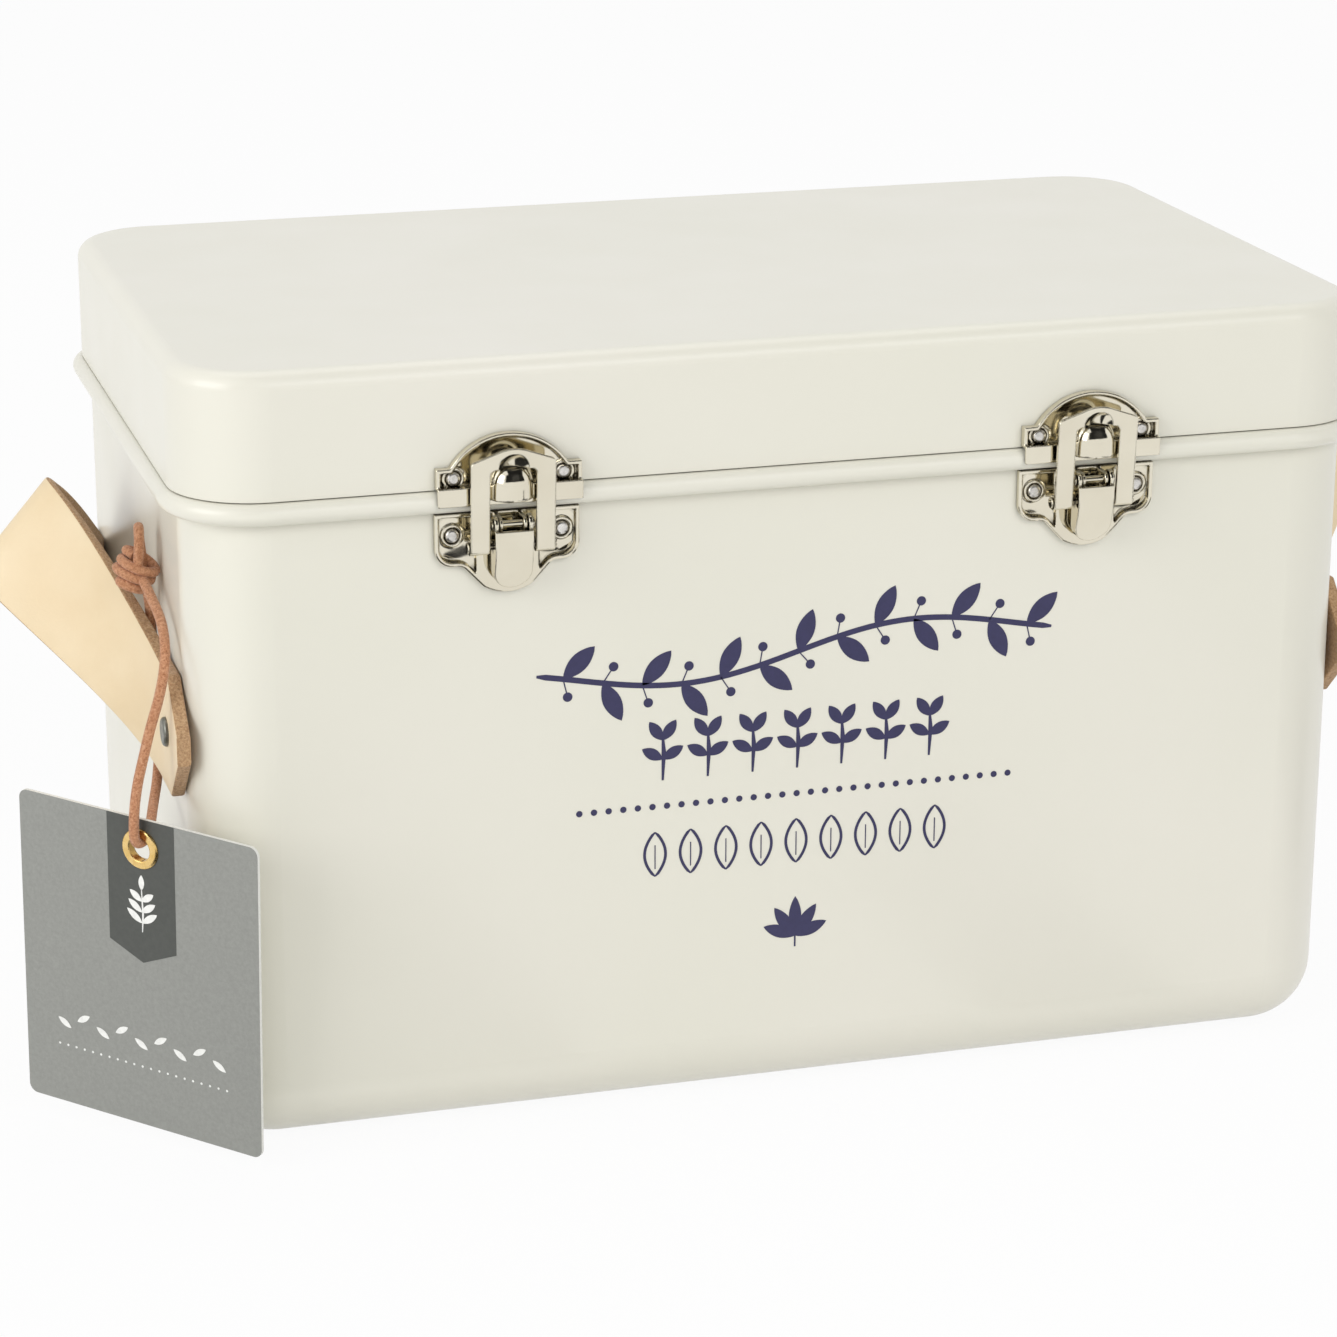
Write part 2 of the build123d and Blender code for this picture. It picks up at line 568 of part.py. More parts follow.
def lever_block(middle, inset, behind):
    """Solid bounded by the lever's front, inset by some sheet, and by the points `behind` it.

    Seen from the front it is a strip with a rounded end.
    """
    face_out = LEVER_PIVOT_OUT + LEVER_FACE_OUT - inset
    with BuildPart() as block:
        with BuildSketch(section_plane(middle)):
            with BuildLine():
                front = Spline(
                    (face_out, LEVER_PIVOT_HEIGHT - LEVER_FACE_DROP),
                    (face_out, LEVER_WAIST),
                    (face_out - LEVER_CURL_IN, LEVER_CURL + inset / 2),
                    (LEVER_END_OUT - inset, LEVER_END + inset),
                )
                Polyline(front @ 1, *behind, front @ 0)
            make_face()
        extrude(amount=LEVER_WIDTH / 2 - inset, both=True)
        with BuildSketch(wall_plane(middle, 0)):
            with Locations((0, LEVER_END + inset)):
                SlotOverall(
                    2 * LEVER_PIVOT_HEIGHT, LEVER_WIDTH - 2 * inset, rotation=90, align=(Align.MIN, Align.CENTER)
                )
        extrude(amount=LEVER_PIVOT_OUT + 2 * LEVER_WIDTH, mode=Mode.INTERSECT)
    return block.part


def make_lever(name, middle):
    """Pressed lever: a channel that closes round its tip, with two cheeks that carry both pins."""
    back = LEVER_PIVOT_OUT - LEVER_BOSS_RADIUS
    above = LEVER_PIVOT_HEIGHT + LEVER_WIDTH
    solid = lever_block(middle, 0, [(back, LEVER_END), (back, LEVER_PIVOT_HEIGHT)])
    beyond = LEVER_PIVOT_OUT + LEVER_WIDTH
    web_top = LEVER_PIVOT_HEIGHT - LEVER_FACE_DROP
    hollow = lever_block(
        middle, LEVER_SHEET, [(0, LEVER_END + LEVER_SHEET), (0, above), (beyond, above), (beyond, web_top)]
    )
    with BuildPart() as lever:
        add(solid)
        with BuildSketch(section_plane(middle)):
            with Locations((LEVER_PIVOT_OUT, LEVER_PIVOT_HEIGHT)):
                Circle(LEVER_BOSS_RADIUS)
        extrude(amount=LEVER_WIDTH / 2, both=True)
        add(hollow, mode=Mode.SUBTRACT)
        with BuildSketch(section_plane(middle)):
            with Locations((LEVER_PIVOT_OUT, LEVER_PIVOT_HEIGHT)):
                Circle(LATCH_PIN_RADIUS + RUNNING_CLEARANCE)
            with Locations((FRAME_PIVOT_OUT, FRAME_PIVOT_HEIGHT)):
                Circle(LATCH_PIN_RADIUS + PIN_CLEARANCE)
        extrude(amount=LEVER_WIDTH, both=True, mode=Mode.SUBTRACT)
    keep(lever, name)


def frame_outline():
    """Frame seen from the front, its pivot at the middle of its foot: slopes up to a rounded crest."""
    half = FRAME_WIDTH / 2
    crest = FRAME_CREST_WIDTH / 2
    with BuildSketch() as outline:
        with BuildLine():
            Polyline(
                (-crest, FRAME_CREST),
                (-half, FRAME_SHOULDER),
                (-half, 0),
                (half, 0),
                (half, FRAME_SHOULDER),
                (crest, FRAME_CREST),
            )
            ThreePointArc((crest, FRAME_CREST), (0, FRAME_TOP), (-crest, FRAME_CREST))
        make_face()
        shoulders = [v for v in outline.vertices() if abs(abs(v.X) - half) < 0.01 and v.Y > FRAME_SHOULDER / 2]
        fillet(shoulders, FRAME_SHOULDER_ROUND)
        with Locations((0, FRAME_WINDOW_TOP)):
            RectangleRounded(
                FRAME_WINDOW, 2 * FRAME_WINDOW_TOP, FRAME_WINDOW_CORNER,
                align=(Align.CENTER, Align.MAX), mode=Mode.SUBTRACT,
            )
    return outline.sketch


def make_frame(name, middle):
    """Arched frame with a window for the nose, a pressed dimple and an eye rolled on each leg's foot."""
    lean = math.radians(FRAME_LEAN)
    leg = (FRAME_WIDTH - FRAME_WINDOW) / 2
    leg_middle = (FRAME_WIDTH + FRAME_WINDOW) / 4
    pivot = (middle, -FRONT - FRAME_PIVOT_OUT, FRAME_PIVOT_HEIGHT)
    leaning = Plane(origin=pivot, x_dir=(1, 0, 0), z_dir=(0, -math.cos(lean), -math.sin(lean)))
    dimple_radius = (DIMPLE_WIDTH ** 2 / 4 + DIMPLE_DEPTH ** 2) / (2 * DIMPLE_DEPTH)
    face_out = FRAME_INSIDE + FRAME_SHEET
    dimple_middle = leaning.from_local_coords((0, FRAME_WINDOW_TOP, face_out + dimple_radius - DIMPLE_DEPTH))
    with BuildPart() as frame:
        with Locations(dimple_middle):
            Sphere(dimple_radius + FRAME_SHEET)
        with BuildSketch(leaning.offset(face_out - FRAME_SHEET / 2)):
            with Locations((0, FRAME_WINDOW_TOP)):
                Rectangle(FRAME_WIDTH, FRAME_WIDTH, align=(Align.CENTER, Align.MIN))
        extrude(amount=-FRAME_SHEET - DIMPLE_DEPTH, mode=Mode.INTERSECT)
        with BuildSketch(leaning.offset(FRAME_INSIDE)):
            add(frame_outline())
        extrude(amount=FRAME_SHEET)
        with Locations(dimple_middle):
            Sphere(dimple_radius, mode=Mode.SUBTRACT)
        for eye in (-leg_middle, leg_middle):
            with BuildSketch(section_plane(middle + eye)):
                with Locations((FRAME_PIVOT_OUT, FRAME_PIVOT_HEIGHT)):
                    Circle(FRAME_INSIDE + FRAME_SHEET)
                    Circle(FRAME_INSIDE, mode=Mode.SUBTRACT)
            extrude(amount=leg / 2, both=True)
    keep(frame, name)


for side, middle in latch_middles.items():
    make_catch_plate(f"catch_plate_{side}", middle)
    make_base_plate(f"base_plate_{side}", middle)
    make_lever(f"latch_lever_{side}", middle)
    make_frame(f"latch_frame_{side}", middle)
    make_pin(
        f"lever_pin_{side}", middle, LEVER_PIVOT_OUT, LEVER_PIVOT_HEIGHT,
        LATCH_PIN_RADIUS, LEVER_WIDTH + 2 * PIN_HEAD_GAP, LATCH_PIN_HEAD_RADIUS, LATCH_PIN_HEAD,
    )
    make_pin(
        f"frame_pin_{side}", middle, FRAME_PIVOT_OUT, FRAME_PIVOT_HEIGHT,
        LATCH_PIN_RADIUS, FRAME_WIDTH + 2 * PIN_HEAD_GAP, LATCH_PIN_HEAD_RADIUS, LATCH_PIN_HEAD,
    )
    make_plate_rivets(
        f"catch_rivets_{side}", wall_plane(middle, LID_OVERHANG + LATCH_SHEET),
        LATCH_RIVET_SPREAD, CATCH_RIVET_HEIGHT, LATCH_SHEET + SHEET,
    )
    make_plate_rivets(
        f"base_rivets_{side}", wall_plane(middle, LATCH_SHEET),
        LATCH_RIVET_SPREAD, BASE_RIVET_HEIGHT, LATCH_SHEET + SHEET,
    )


# ================================================================== hinges
def make_hinge_leaf(name, middle, wall_out, bend, foot, far, bore, middle_knuckle):
    """One leaf: knuckles round the pin, a bend round the rim and a flat riveted part.

    `wall_out` is the wall it lies on, `bend` and `foot` are the heights of its two bends and `far`
    is its free edge. The lid's leaf has the middle knuckle, the body's leaf has the outer two.
    """
    inner = HINGE_PIVOT_OUT - KNUCKLE_RADIUS
    outer = inner + HINGE_SHEET
    plane = section_plane(middle, back=True)
    clear = KNUCKLE_RADIUS + HINGE_KNUCKLE_GAP
    with BuildPart() as leaf:
        with BuildSketch(plane):
            with BuildLine():
                Polyline(
                    (inner, HINGE_PIVOT_HEIGHT),
                    (inner, bend),
                    (wall_out, foot),
                    (wall_out, far),
                    (wall_out + HINGE_SHEET, far),
                    (wall_out + HINGE_SHEET, foot),
                    (outer, bend),
                    (outer, HINGE_PIVOT_HEIGHT),
                    close=True,
                )
            make_face()
            with Locations((HINGE_PIVOT_OUT, HINGE_PIVOT_HEIGHT)):
                Circle(KNUCKLE_RADIUS)
                Circle(bore, mode=Mode.SUBTRACT)
        extrude(amount=HINGE_WIDTH / 2, both=True)
        # room for the other leaf's knuckles
        shared = KNUCKLE_WIDTH + HINGE_KNUCKLE_GAP
        if middle_knuckle:
            rooms = [(-KNUCKLE_WIDTH, shared), (KNUCKLE_WIDTH, shared)]
        else:
            rooms = [(0, shared)]
        for place, width in rooms:
            with BuildSketch(section_plane(middle + place, back=True)):
                with Locations((HINGE_PIVOT_OUT, HINGE_PIVOT_HEIGHT)):
                    Circle(clear)
            extrude(amount=width / 2, both=True, mode=Mode.SUBTRACT)
        # rounded free corners
        free_edges = leaf.edges().filter_by(Axis.Y).filter_by_position(Axis.Z, far - 0.01, far + 0.01)
        fillet(free_edges, HINGE_CORNER)
        with BuildSketch(wall_plane(middle, wall_out, back=True)):
            with Locations(pair(HINGE_RIVET_SPREAD, (foot + far) / 2)):
                Circle(RIVET_RADIUS + RIVET_CLEARANCE)
        extrude(amount=HINGE_SHEET, mode=Mode.SUBTRACT)
    keep(leaf, name)


for side, middle in hinge_middles.items():
    make_hinge_leaf(
        f"hinge_lid_leaf_{side}", middle, LID_OVERHANG, HINGE_LID_BEND, HINGE_LID_FOOT,
        HINGE_LID_FOOT + HINGE_LEAF_HEIGHT, HINGE_PIN_RADIUS + RUNNING_CLEARANCE, middle_knuckle=True,
    )
    make_hinge_leaf(
        f"hinge_body_leaf_{side}", middle, 0, HINGE_BODY_BEND, HINGE_BODY_HEAD,
        HINGE_BODY_HEAD - HINGE_LEAF_HEIGHT, HINGE_PIN_RADIUS + PIN_CLEARANCE, middle_knuckle=False,
    )
    make_pin(
        f"hinge_pin_{side}", middle, HINGE_PIVOT_OUT, HINGE_PIVOT_HEIGHT, HINGE_PIN_RADIUS,
        HINGE_WIDTH + 2 * PIN_HEAD_GAP, HINGE_PIN_HEAD_RADIUS, HINGE_PIN_HEAD, back=True,
    )
    make_plate_rivets(
        f"hinge_lid_rivets_{side}", wall_plane(middle, LID_OVERHANG + HINGE_SHEET, back=True),
        HINGE_RIVET_SPREAD, HINGE_LID_RIVET, HINGE_SHEET + SHEET,
    )
    make_plate_rivets(
        f"hinge_body_rivets_{side}", wall_plane(middle, HINGE_SHEET, back=True),
        HINGE_RIVET_SPREAD, HINGE_BODY_RIVET, HINGE_SHEET + SHEET,
    )


# ================================================================== leather handles
def bow_place(depth):
    """Middle of the strap and direction across its width, at a distance from the bow's middle."""
    far = math.hypot(BOW_SPAN / 2, BOW_CREST) - BOW_CREST
    reach = max(0.0, 1 - (math.hypot(depth, BOW_CREST) - BOW_CREST) / far)
    out = SIDE + STRAP_GAP + STRAP_THICKNESS / 2 + BOW_OUT * reach ** BOW_OUT_POWER
    lean = math.radians(BOW_LEAN * reach ** BOW_LEAN_POWER)
    middle = Vector(out, depth, HANDLE_HEIGHT + BOW_RISE * reach ** BOW_RISE_POWER)
    return middle, Vector(math.sin(lean), 0, -math.cos(lean))


def bow_plane(depth):
    """Plane of the strap's section there. Local x runs down the width, local y is the thickness."""
    middle, across = bow_place(depth)
    along = bow_place(depth + STRAP_STEP)[0] - bow_place(depth - STRAP_STEP)[0]
    if abs(depth) > BOW_SPAN / 2 - STRAP_STEP:
        along = Vector(0, 1, 0)
    through = along.cross(across).normalized()
    return Plane(origin=middle, x_dir=across, z_dir=across.cross(through))


def make_right_strap():
    """Leather strap with flat clipped ends, bowed out and pushed up between them."""
    half = STRAP_WIDTH / 2
    start = BOW_SPAN / 2
    tip = start + STRAP_END
    with BuildPart() as strap:
        for station in range(BOW_STATIONS + 1):
            # closer together towards the middle of the bow
            place = 2 * station / BOW_STATIONS - 1
            with BuildSketch(bow_plane(start * place * abs(place) ** BOW_CROWDING)):
                Rectangle(STRAP_WIDTH, STRAP_THICKNESS)
        loft()
        for end in (-1, 1):
            with BuildSketch(side_plane(1, STRAP_GAP)):
                with BuildLine():
                    Polyline(
                        (end * start, HANDLE_HEIGHT - half),
                        (end * (tip - STRAP_END_CUT), HANDLE_HEIGHT - half),
                        (end * tip, HANDLE_HEIGHT - half + STRAP_END_CUT),
                        (end * tip, HANDLE_HEIGHT + half - STRAP_END_CUT),
                        (end * (tip - STRAP_END_CUT), HANDLE_HEIGHT + half),
                        (end * start, HANDLE_HEIGHT + half),
                        close=True,
                    )
                make_face()
            extrude(amount=STRAP_THICKNESS)
        with BuildSketch(side_plane(1, STRAP_GAP)):
            with Locations(pair(HANDLE_RIVET_SPREAD, HANDLE_HEIGHT)):
                Circle(STRAP_RIVET_RADIUS + RIVET_CLEARANCE)
        extrude(amount=STRAP_THICKNESS, mode=Mode.SUBTRACT)
    return strap.part


right_strap = make_right_strap()
with BuildPart() as handle_strap_right:
    add(right_strap)
keep(handle_strap_right, "handle_strap_right")
with BuildPart() as handle_strap_left:
    mirror(right_strap, about=Plane.YZ)
keep(handle_strap_left, "handle_strap_left")

for name, side in SIDES.items():
    make_rivets(
        f"handle_rivets_{name}", side_plane(side, STRAP_GAP + STRAP_THICKNESS), HANDLE_RIVET_SPREAD, HANDLE_HEIGHT,
        STRAP_THICKNESS + STRAP_GAP + SHEET + BURR_THICKNESS, STRAP_RIVET_RADIUS, STRAP_HEAD_RADIUS,
        STRAP_HEAD_HEIGHT, STRAP_RIVET_RADIUS + RIVET_TAIL_HEIGHT, RIVET_TAIL_HEIGHT,
    )
    with BuildPart() as burrs:
        with BuildSketch(side_plane(side, -SHEET)):
            with Locations(pair(HANDLE_RIVET_SPREAD, HANDLE_HEIGHT)):
                Circle(BURR_RADIUS)
                Circle(STRAP_RIVET_RADIUS + RIVET_CLEARANCE, mode=Mode.SUBTRACT)
        extrude(amount=-BURR_THICKNESS)
    keep(burrs, f"handle_burrs_{name}")

# ================================================================== partition
with BuildPart() as partition_channels:
    for back in (False, True):
        with BuildSketch(Plane.XY.offset(CHANNEL_FOOT)):
            facing = 1 if back else -1
            with Locations((0, facing * (INNER_DEPTH / 2 - CHANNEL_DEPTH / 2))):
                Rectangle(CHANNEL_WIDTH, CHANNEL_DEPTH)
            with Locations((0, facing * (INNER_DEPTH / 2 - CHANNEL_DEPTH / 2 - CHANNEL_SHEET))):
                Rectangle(CHANNEL_WIDTH - 2 * CHANNEL_SHEET, CHANNEL_DEPTH, mode=Mode.SUBTRACT)
        extrude(amount=CHANNEL_TOP - CHANNEL_FOOT)
keep(partition_channels, "partition_channels")

with BuildPart() as partition:
    reach = INNER_DEPTH / 2 - CHANNEL_SHEET - PARTITION_GAP
    floor = SHEET + PARTITION_GAP
    with BuildSketch(section_plane(0, back=True)):
        with Locations((-FRONT, (PARTITION_TOP + floor) / 2)):
            Rectangle(2 * reach, PARTITION_TOP - floor)
    extrude(amount=PARTITION_SHEET / 2, both=True)
    upright = partition.edges().filter_by(Axis.X).group_by(Axis.Z)
    fillet(upright[0], BOTTOM_RADIUS)
    fillet(partition.edges().filter_by(Axis.X).group_by(Axis.Z)[-1], PARTITION_CORNER)
keep(partition, "partition")


# ================================================================== month cards
def make_month_card(name, middle, row_place):
    """A stiff card with one tab. Row place 0 leans on the back wall; the tabs step to the right."""
    foot = CARD_FOOT - row_place * CARD_PITCH
    plane = Plane(
        origin=(middle, foot, SHEET + CARD_FLOOR_GAP),
        x_dir=(1, 0, 0),
        z_dir=(0, -math.cos(CARD_LEAN), math.sin(CARD_LEAN)),
    )
    tab_place = (CARDS_IN_ROW - 1 - row_place) * TAB_STEP - (CARD_WIDTH - CARD_TAB_WIDTH) / 2
    with BuildPart() as card:
        with BuildSketch(plane):
            with Locations((0, CARD_BODY_HEIGHT / 2)):
                RectangleRounded(CARD_WIDTH, CARD_BODY_HEIGHT, CARD_CORNER)
            with Locations((tab_place, CARD_HEIGHT)):
                RectangleRounded(
                    CARD_TAB_WIDTH,
                    CARD_TAB_HEIGHT + CARD_TAB_ROOT,
                    CARD_CORNER,
                    align=(Align.CENTER, Align.MAX),
                )
        extrude(amount=CARD_THICKNESS)
    keep(card, name)


for number in range(2 * CARDS_IN_ROW):
    row, order = divmod(number, CARDS_IN_ROW)
    row_middle = (-1 if row == 0 else 1) * CARD_MIDDLE
    make_month_card(f"month_card_{number + 1:02d}", row_middle, CARDS_IN_ROW - 1 - order)

# ================================================================== swing tag
turn = math.radians(TAG_TURN)
tilt = math.radians(TAG_TILT)
roll = math.radians(TAG_ROLL)
tag_plane = Plane(
    origin=TAG_TOP_MIDDLE,
    x_dir=(math.cos(turn) * math.cos(roll), -math.sin(turn) * math.cos(roll), -math.sin(roll)),
    z_dir=(-math.sin(turn) * math.cos(tilt), -math.cos(turn) * math.cos(tilt), -math.sin(tilt)),
)
EYELET_BARREL_RADIUS = EYELET_BORE_RADIUS + EYELET_BARREL

with BuildPart() as tag_card:
    with BuildSketch(tag_plane):
        with Locations((0, -TAG_HEIGHT / 2)):
            RectangleRounded(TAG_WIDTH, TAG_HEIGHT, TAG_CORNER)
        with Locations((EYELET_SIDE, -EYELET_DROP)):
            Circle(EYELET_BARREL_RADIUS + EYELET_CLEARANCE, mode=Mode.SUBTRACT)
    extrude(amount=TAG_THICKNESS / 2, both=True)
keep(tag_card, "tag_card")

with BuildPart() as tag_eyelet:
    for face in (-1, 1):
        with BuildSketch(tag_plane.offset(face * TAG_THICKNESS / 2)):
            with Locations((EYELET_SIDE, -EYELET_DROP)):
                Circle(EYELET_FLANGE_RADIUS)
        extrude(amount=face * EYELET_FLANGE)
    flange_edges = tag_eyelet.edges().filter_by(GeomType.CIRCLE)
    outer_edges = [
        edge for edge in flange_edges
        if abs(tag_plane.to_local_coords(edge.arc_center).Z) > TAG_THICKNESS / 2 + EYELET_FLANGE / 2
    ]
    fillet(outer_edges, EYELET_FLANGE * RIVET_ROUND)
    with BuildSketch(tag_plane):
        with Locations((EYELET_SIDE, -EYELET_DROP)):
            Circle(EYELET_BARREL_RADIUS)
    extrude(amount=TAG_THICKNESS / 2, both=True)
    with BuildSketch(tag_plane):
        with Locations((EYELET_SIDE, -EYELET_DROP)):
            Circle(EYELET_BORE_RADIUS)
    extrude(amount=TAG_THICKNESS + EYELET_FLANGE, both=True, mode=Mode.SUBTRACT)
keep(tag_eyelet, "tag_eyelet")


# ================================================================== lace and knot
def route_radii(route):
    """One bend radius for each inner point, as large as the two runs beside it allow."""
    points = [Vector(*point) for point in route]
    radii = []
    for before, here, after in zip(points, points[1:], points[2:]):
        turn_angle = math.radians((here - before).get_angle(after - here))
        shorter = min((here - before).length, (after - here).length)
        radii.append(LACE_RUN_SHARE * shorter / math.tan(turn_angle / 2))
    return radii


lace_radii = route_radii(LACE_ROUTE)
print("lace bend radii, in diameters:", [round(radius / LACE_DIAMETER, 1) for radius in lace_radii])

with BuildPart() as tag_cord:
    with BuildLine() as lace_line:
        FilletPolyline(*LACE_ROUTE, radius=lace_radii)
    with BuildSketch(Plane(lace_line.line @ 0, z_dir=lace_line.line % 0)):
        Circle(LACE_DIAMETER / 2)
    sweep(path=lace_line.line)
keep(tag_cord, "tag_cord")
lace_length = lace_line.wires()[0].length
lace_volume = math.pi * (LACE_DIAMETER / 2) ** 2 * lace_length
print(f"lace length {lace_length:.1f} mm, volume ratio {tag_cord.part.volume / lace_volume:.5f}")

with BuildPart() as tag_knot:
    knot_plane = Plane(origin=KNOT_MIDDLE, x_dir=(0, -1, 0), z_dir=(-1, 0, 0))
    core_height = KNOT_WRAPS * LACE_DIAMETER
    with Locations(KNOT_MIDDLE):
        Cylinder(KNOT_RADIUS - LACE_DIAMETER / 2, core_height)
    for wrap in range(KNOT_WRAPS):
        height = (wrap - (KNOT_WRAPS - 1) / 2) * LACE_DIAMETER
        with Locations((KNOT_MIDDLE[0], KNOT_MIDDLE[1], KNOT_MIDDLE[2] + height)):
            Torus(KNOT_RADIUS - LACE_DIAMETER / 2, LACE_DIAMETER / 2)
    # the small loop that stands up out of the knot
    shoulder = BIGHT_RISE - LACE_DIAMETER / 2 - BIGHT_RADIUS
    with BuildLine(knot_plane) as bight_line:
        Line((-BIGHT_RADIUS, 0), (-BIGHT_RADIUS, shoulder))
        ThreePointArc((-BIGHT_RADIUS, shoulder), (0, shoulder + BIGHT_RADIUS), (BIGHT_RADIUS, shoulder))
        Line((BIGHT_RADIUS, shoulder), (BIGHT_RADIUS, 0))
    bight = bight_line.wires()[0]
    with BuildSketch(Plane(bight @ 0, z_dir=bight % 0)):
        Circle(LACE_DIAMETER / 2)
    sweep(path=bight)
keep(tag_knot, "tag_knot")
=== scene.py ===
import math

import bmesh
import bpy
from mathutils import Matrix, Vector


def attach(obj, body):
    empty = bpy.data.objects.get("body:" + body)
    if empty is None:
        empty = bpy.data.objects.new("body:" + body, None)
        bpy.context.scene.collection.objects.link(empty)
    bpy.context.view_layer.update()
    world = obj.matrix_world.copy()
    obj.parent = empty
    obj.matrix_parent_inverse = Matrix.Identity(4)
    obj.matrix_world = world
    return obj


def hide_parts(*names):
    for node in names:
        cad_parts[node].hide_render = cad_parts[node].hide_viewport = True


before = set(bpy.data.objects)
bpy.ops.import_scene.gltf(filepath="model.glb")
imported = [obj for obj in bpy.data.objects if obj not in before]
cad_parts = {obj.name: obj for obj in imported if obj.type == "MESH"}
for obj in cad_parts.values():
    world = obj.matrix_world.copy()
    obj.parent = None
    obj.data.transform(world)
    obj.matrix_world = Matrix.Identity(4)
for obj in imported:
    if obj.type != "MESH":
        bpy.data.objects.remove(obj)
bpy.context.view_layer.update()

# Metres, in the frame of the CAD model: +Z up, the latches face -Y, the box stands on z = 0.
MM = 0.001
SIDES = {"left": -1, "right": 1}

# ------------------------------------------------------------------ camera, as in the photograph
CAMERA_PLACE = Vector((-0.3031, -1.0131, 0.4322))
CAMERA_RIGHT = Vector((0.9603, -0.2788, 0.0022))
CAMERA_UP = Vector((0.0840, 0.2966, 0.9513))
CAMERA_LENS = 107.5              # millimetres, as the sensor
SENSOR = 36.0
CAMERA_REACH = 20.0              # metres

# ------------------------------------------------------------------ sizes that the CAD model has
BOX_FRONT = -90.5 * MM
BOX_SIDE = 155.0 * MM
LATCH_MIDDLE = 76.5 * MM         # from the box's middle to each latch

STRAP_WIDTH = 32.0 * MM
STRAP_THICKNESS = 3.5 * MM
STRAP_GAP = 0.3 * MM
HANDLE_HEIGHT = 107.5 * MM
BOW_SPAN = 120.0 * MM
BOW_OUT = 29.6 * MM
BOW_RISE = 37.0 * MM
BOW_LEAN = math.radians(41.0)
BOW_CREST = 5.0 * MM             # rounds the bow's crest
BOW_OUT_POWER = 1.7
BOW_RISE_POWER = 1.4
BOW_LEAN_POWER = 2.2
STRAP_END = 22.0 * MM            # from the bow to the tip
STRAP_END_CUT = 12.0 * MM        # the tip's clipped corners

LACE_RADIUS = 1.3 * MM
# control points in millimetres, from the knot down to the eyelet and back up behind the strap
LACE_ROUTE = [
    (-160.4, -47.0, 142.0),
    (-159.0, -56.5, 138.2),
    (-158.4, -65.5, 134.6),
    (-159.3, -73.0, 128.6),
    (-161.6, -76.3, 120.6),
    (-164.2, -75.8, 112.4),
    (-166.4, -76.2, 104.4),
    (-168.8, -79.4, 98.0),
    (-170.3, -82.8, 91.8),
    (-170.4, -82.5, 83.8),
    (-166.1, -78.2, 84.0),
    (-163.9, -69.6, 86.6),
    (-161.9, -61.0, 87.6),
    (-159.6, -52.4, 89.6),
    (-157.8, -45.8, 94.6),
    (-157.2, -41.6, 102.4),
    (-157.1, -39.2, 111.6),
    (-157.2, -38.2, 121.0),
    (-157.4, -37.8, 130.0),
    (-158.0, -38.6, 137.0),
    (-160.0, -40.4, 142.6),
]

TAG_TURN = math.radians(45.0)
TAG_TILT = math.radians(2.3)
TAG_ROLL = math.radians(2.7)
TAG_TOP_MIDDLE = Vector((-169.0, -80.0, 90.5)) * MM
TAG_THICKNESS = 0.9 * MM
EYELET_X = 1.1                   # millimetres, from the middle of the tag's top edge
EYELET_Y = -8.1

CARD_COUNT = 12
CARD_LEAN = math.asin(18.4 / 142.0)      # how far its top stands back, over the card's height
TAB_REACH = 9.0 * MM             # only a card's tab comes this close to its top
TAB_EDGE = 2.5 * MM              # and only the tab's top edge and its corners this close

# ------------------------------------------------------------------ forms that only this scene has
STAMPED_VOXEL = 0.2 * MM
STAMPED_SMOOTHING = 3
DISH_SIDE = 16.5 * MM            # from the latch's middle to the dish below each rivet
DISH_HEIGHT = 153.2 * MM
DISH_HALF_WIDTH = 12.0 * MM
DISH_HALF_HEIGHT = 8.0 * MM
DISH_DEPTH = 0.78 * MM
DISH_FLAT = 1.2 * MM             # the plate's raised parts stand further off the wall than this
DISH_FACING = -0.4               # only vertices whose normal has a Y of this or less are pressed

STRAP_EDGE_ROUND = 0.7 * MM
STRAP_COLUMNS = 8                # across each broad face
STRAP_EDGE_STEPS = 3             # round each edge
STRAP_TIP_STEP = 0.4 * MM
STRAP_END_RINGS = 4              # steps along a clipped tip, and again from there to the bow
BOW_RINGS = 24                   # in each half of the bow
BOW_RING_POWER = 1.25            # above 1, so the rings gather at the crest
SLOPE_STEP = 0.05 * MM
FACE_SHARE = 0.75                # a face that looks outwards or inwards by more than this is broad

KNOT_MIDDLE = Vector((-161.6, -43.0, 143.4))     # millimetres, as the knot's other lengths
KNOT_LEAN = math.radians(28.0)
KNOT_START = math.radians(-150.0)
KNOT_TURNS = 3
KNOT_STEPS = 12                  # points for each turn
KNOT_PITCH = 2.5
KNOT_REACH = 4.6
KNOT_DEPTH = 3.8
KNOT_END_PULL = 0.55             # both ends are drawn in to this share
BIGHT_SHAPE = [
    (-2.2, -2.0), (-3.4, 3.5), (-3.5, 7.5), (-1.8, 11.0), (1.4, 11.4), (3.4, 8.0), (3.0, 3.5), (1.6, -2.0),
]
BIGHT_DRIFT = 0.35               # from point to point, along X

INK_THICKNESS = 0.06 * MM
INK_LAYER = 0.004 * MM
INK_LAYERS = 7
FRONT_INK_GAP = 0.02 * MM
TAG_INK_GAP = 0.01 * MM
NUMBER_SIZE = 11.0 * MM
NUMBER_DROP = 12.0 * MM          # from the card's top to the number's foot
NUMBER_LIFT = 0.1 * MM

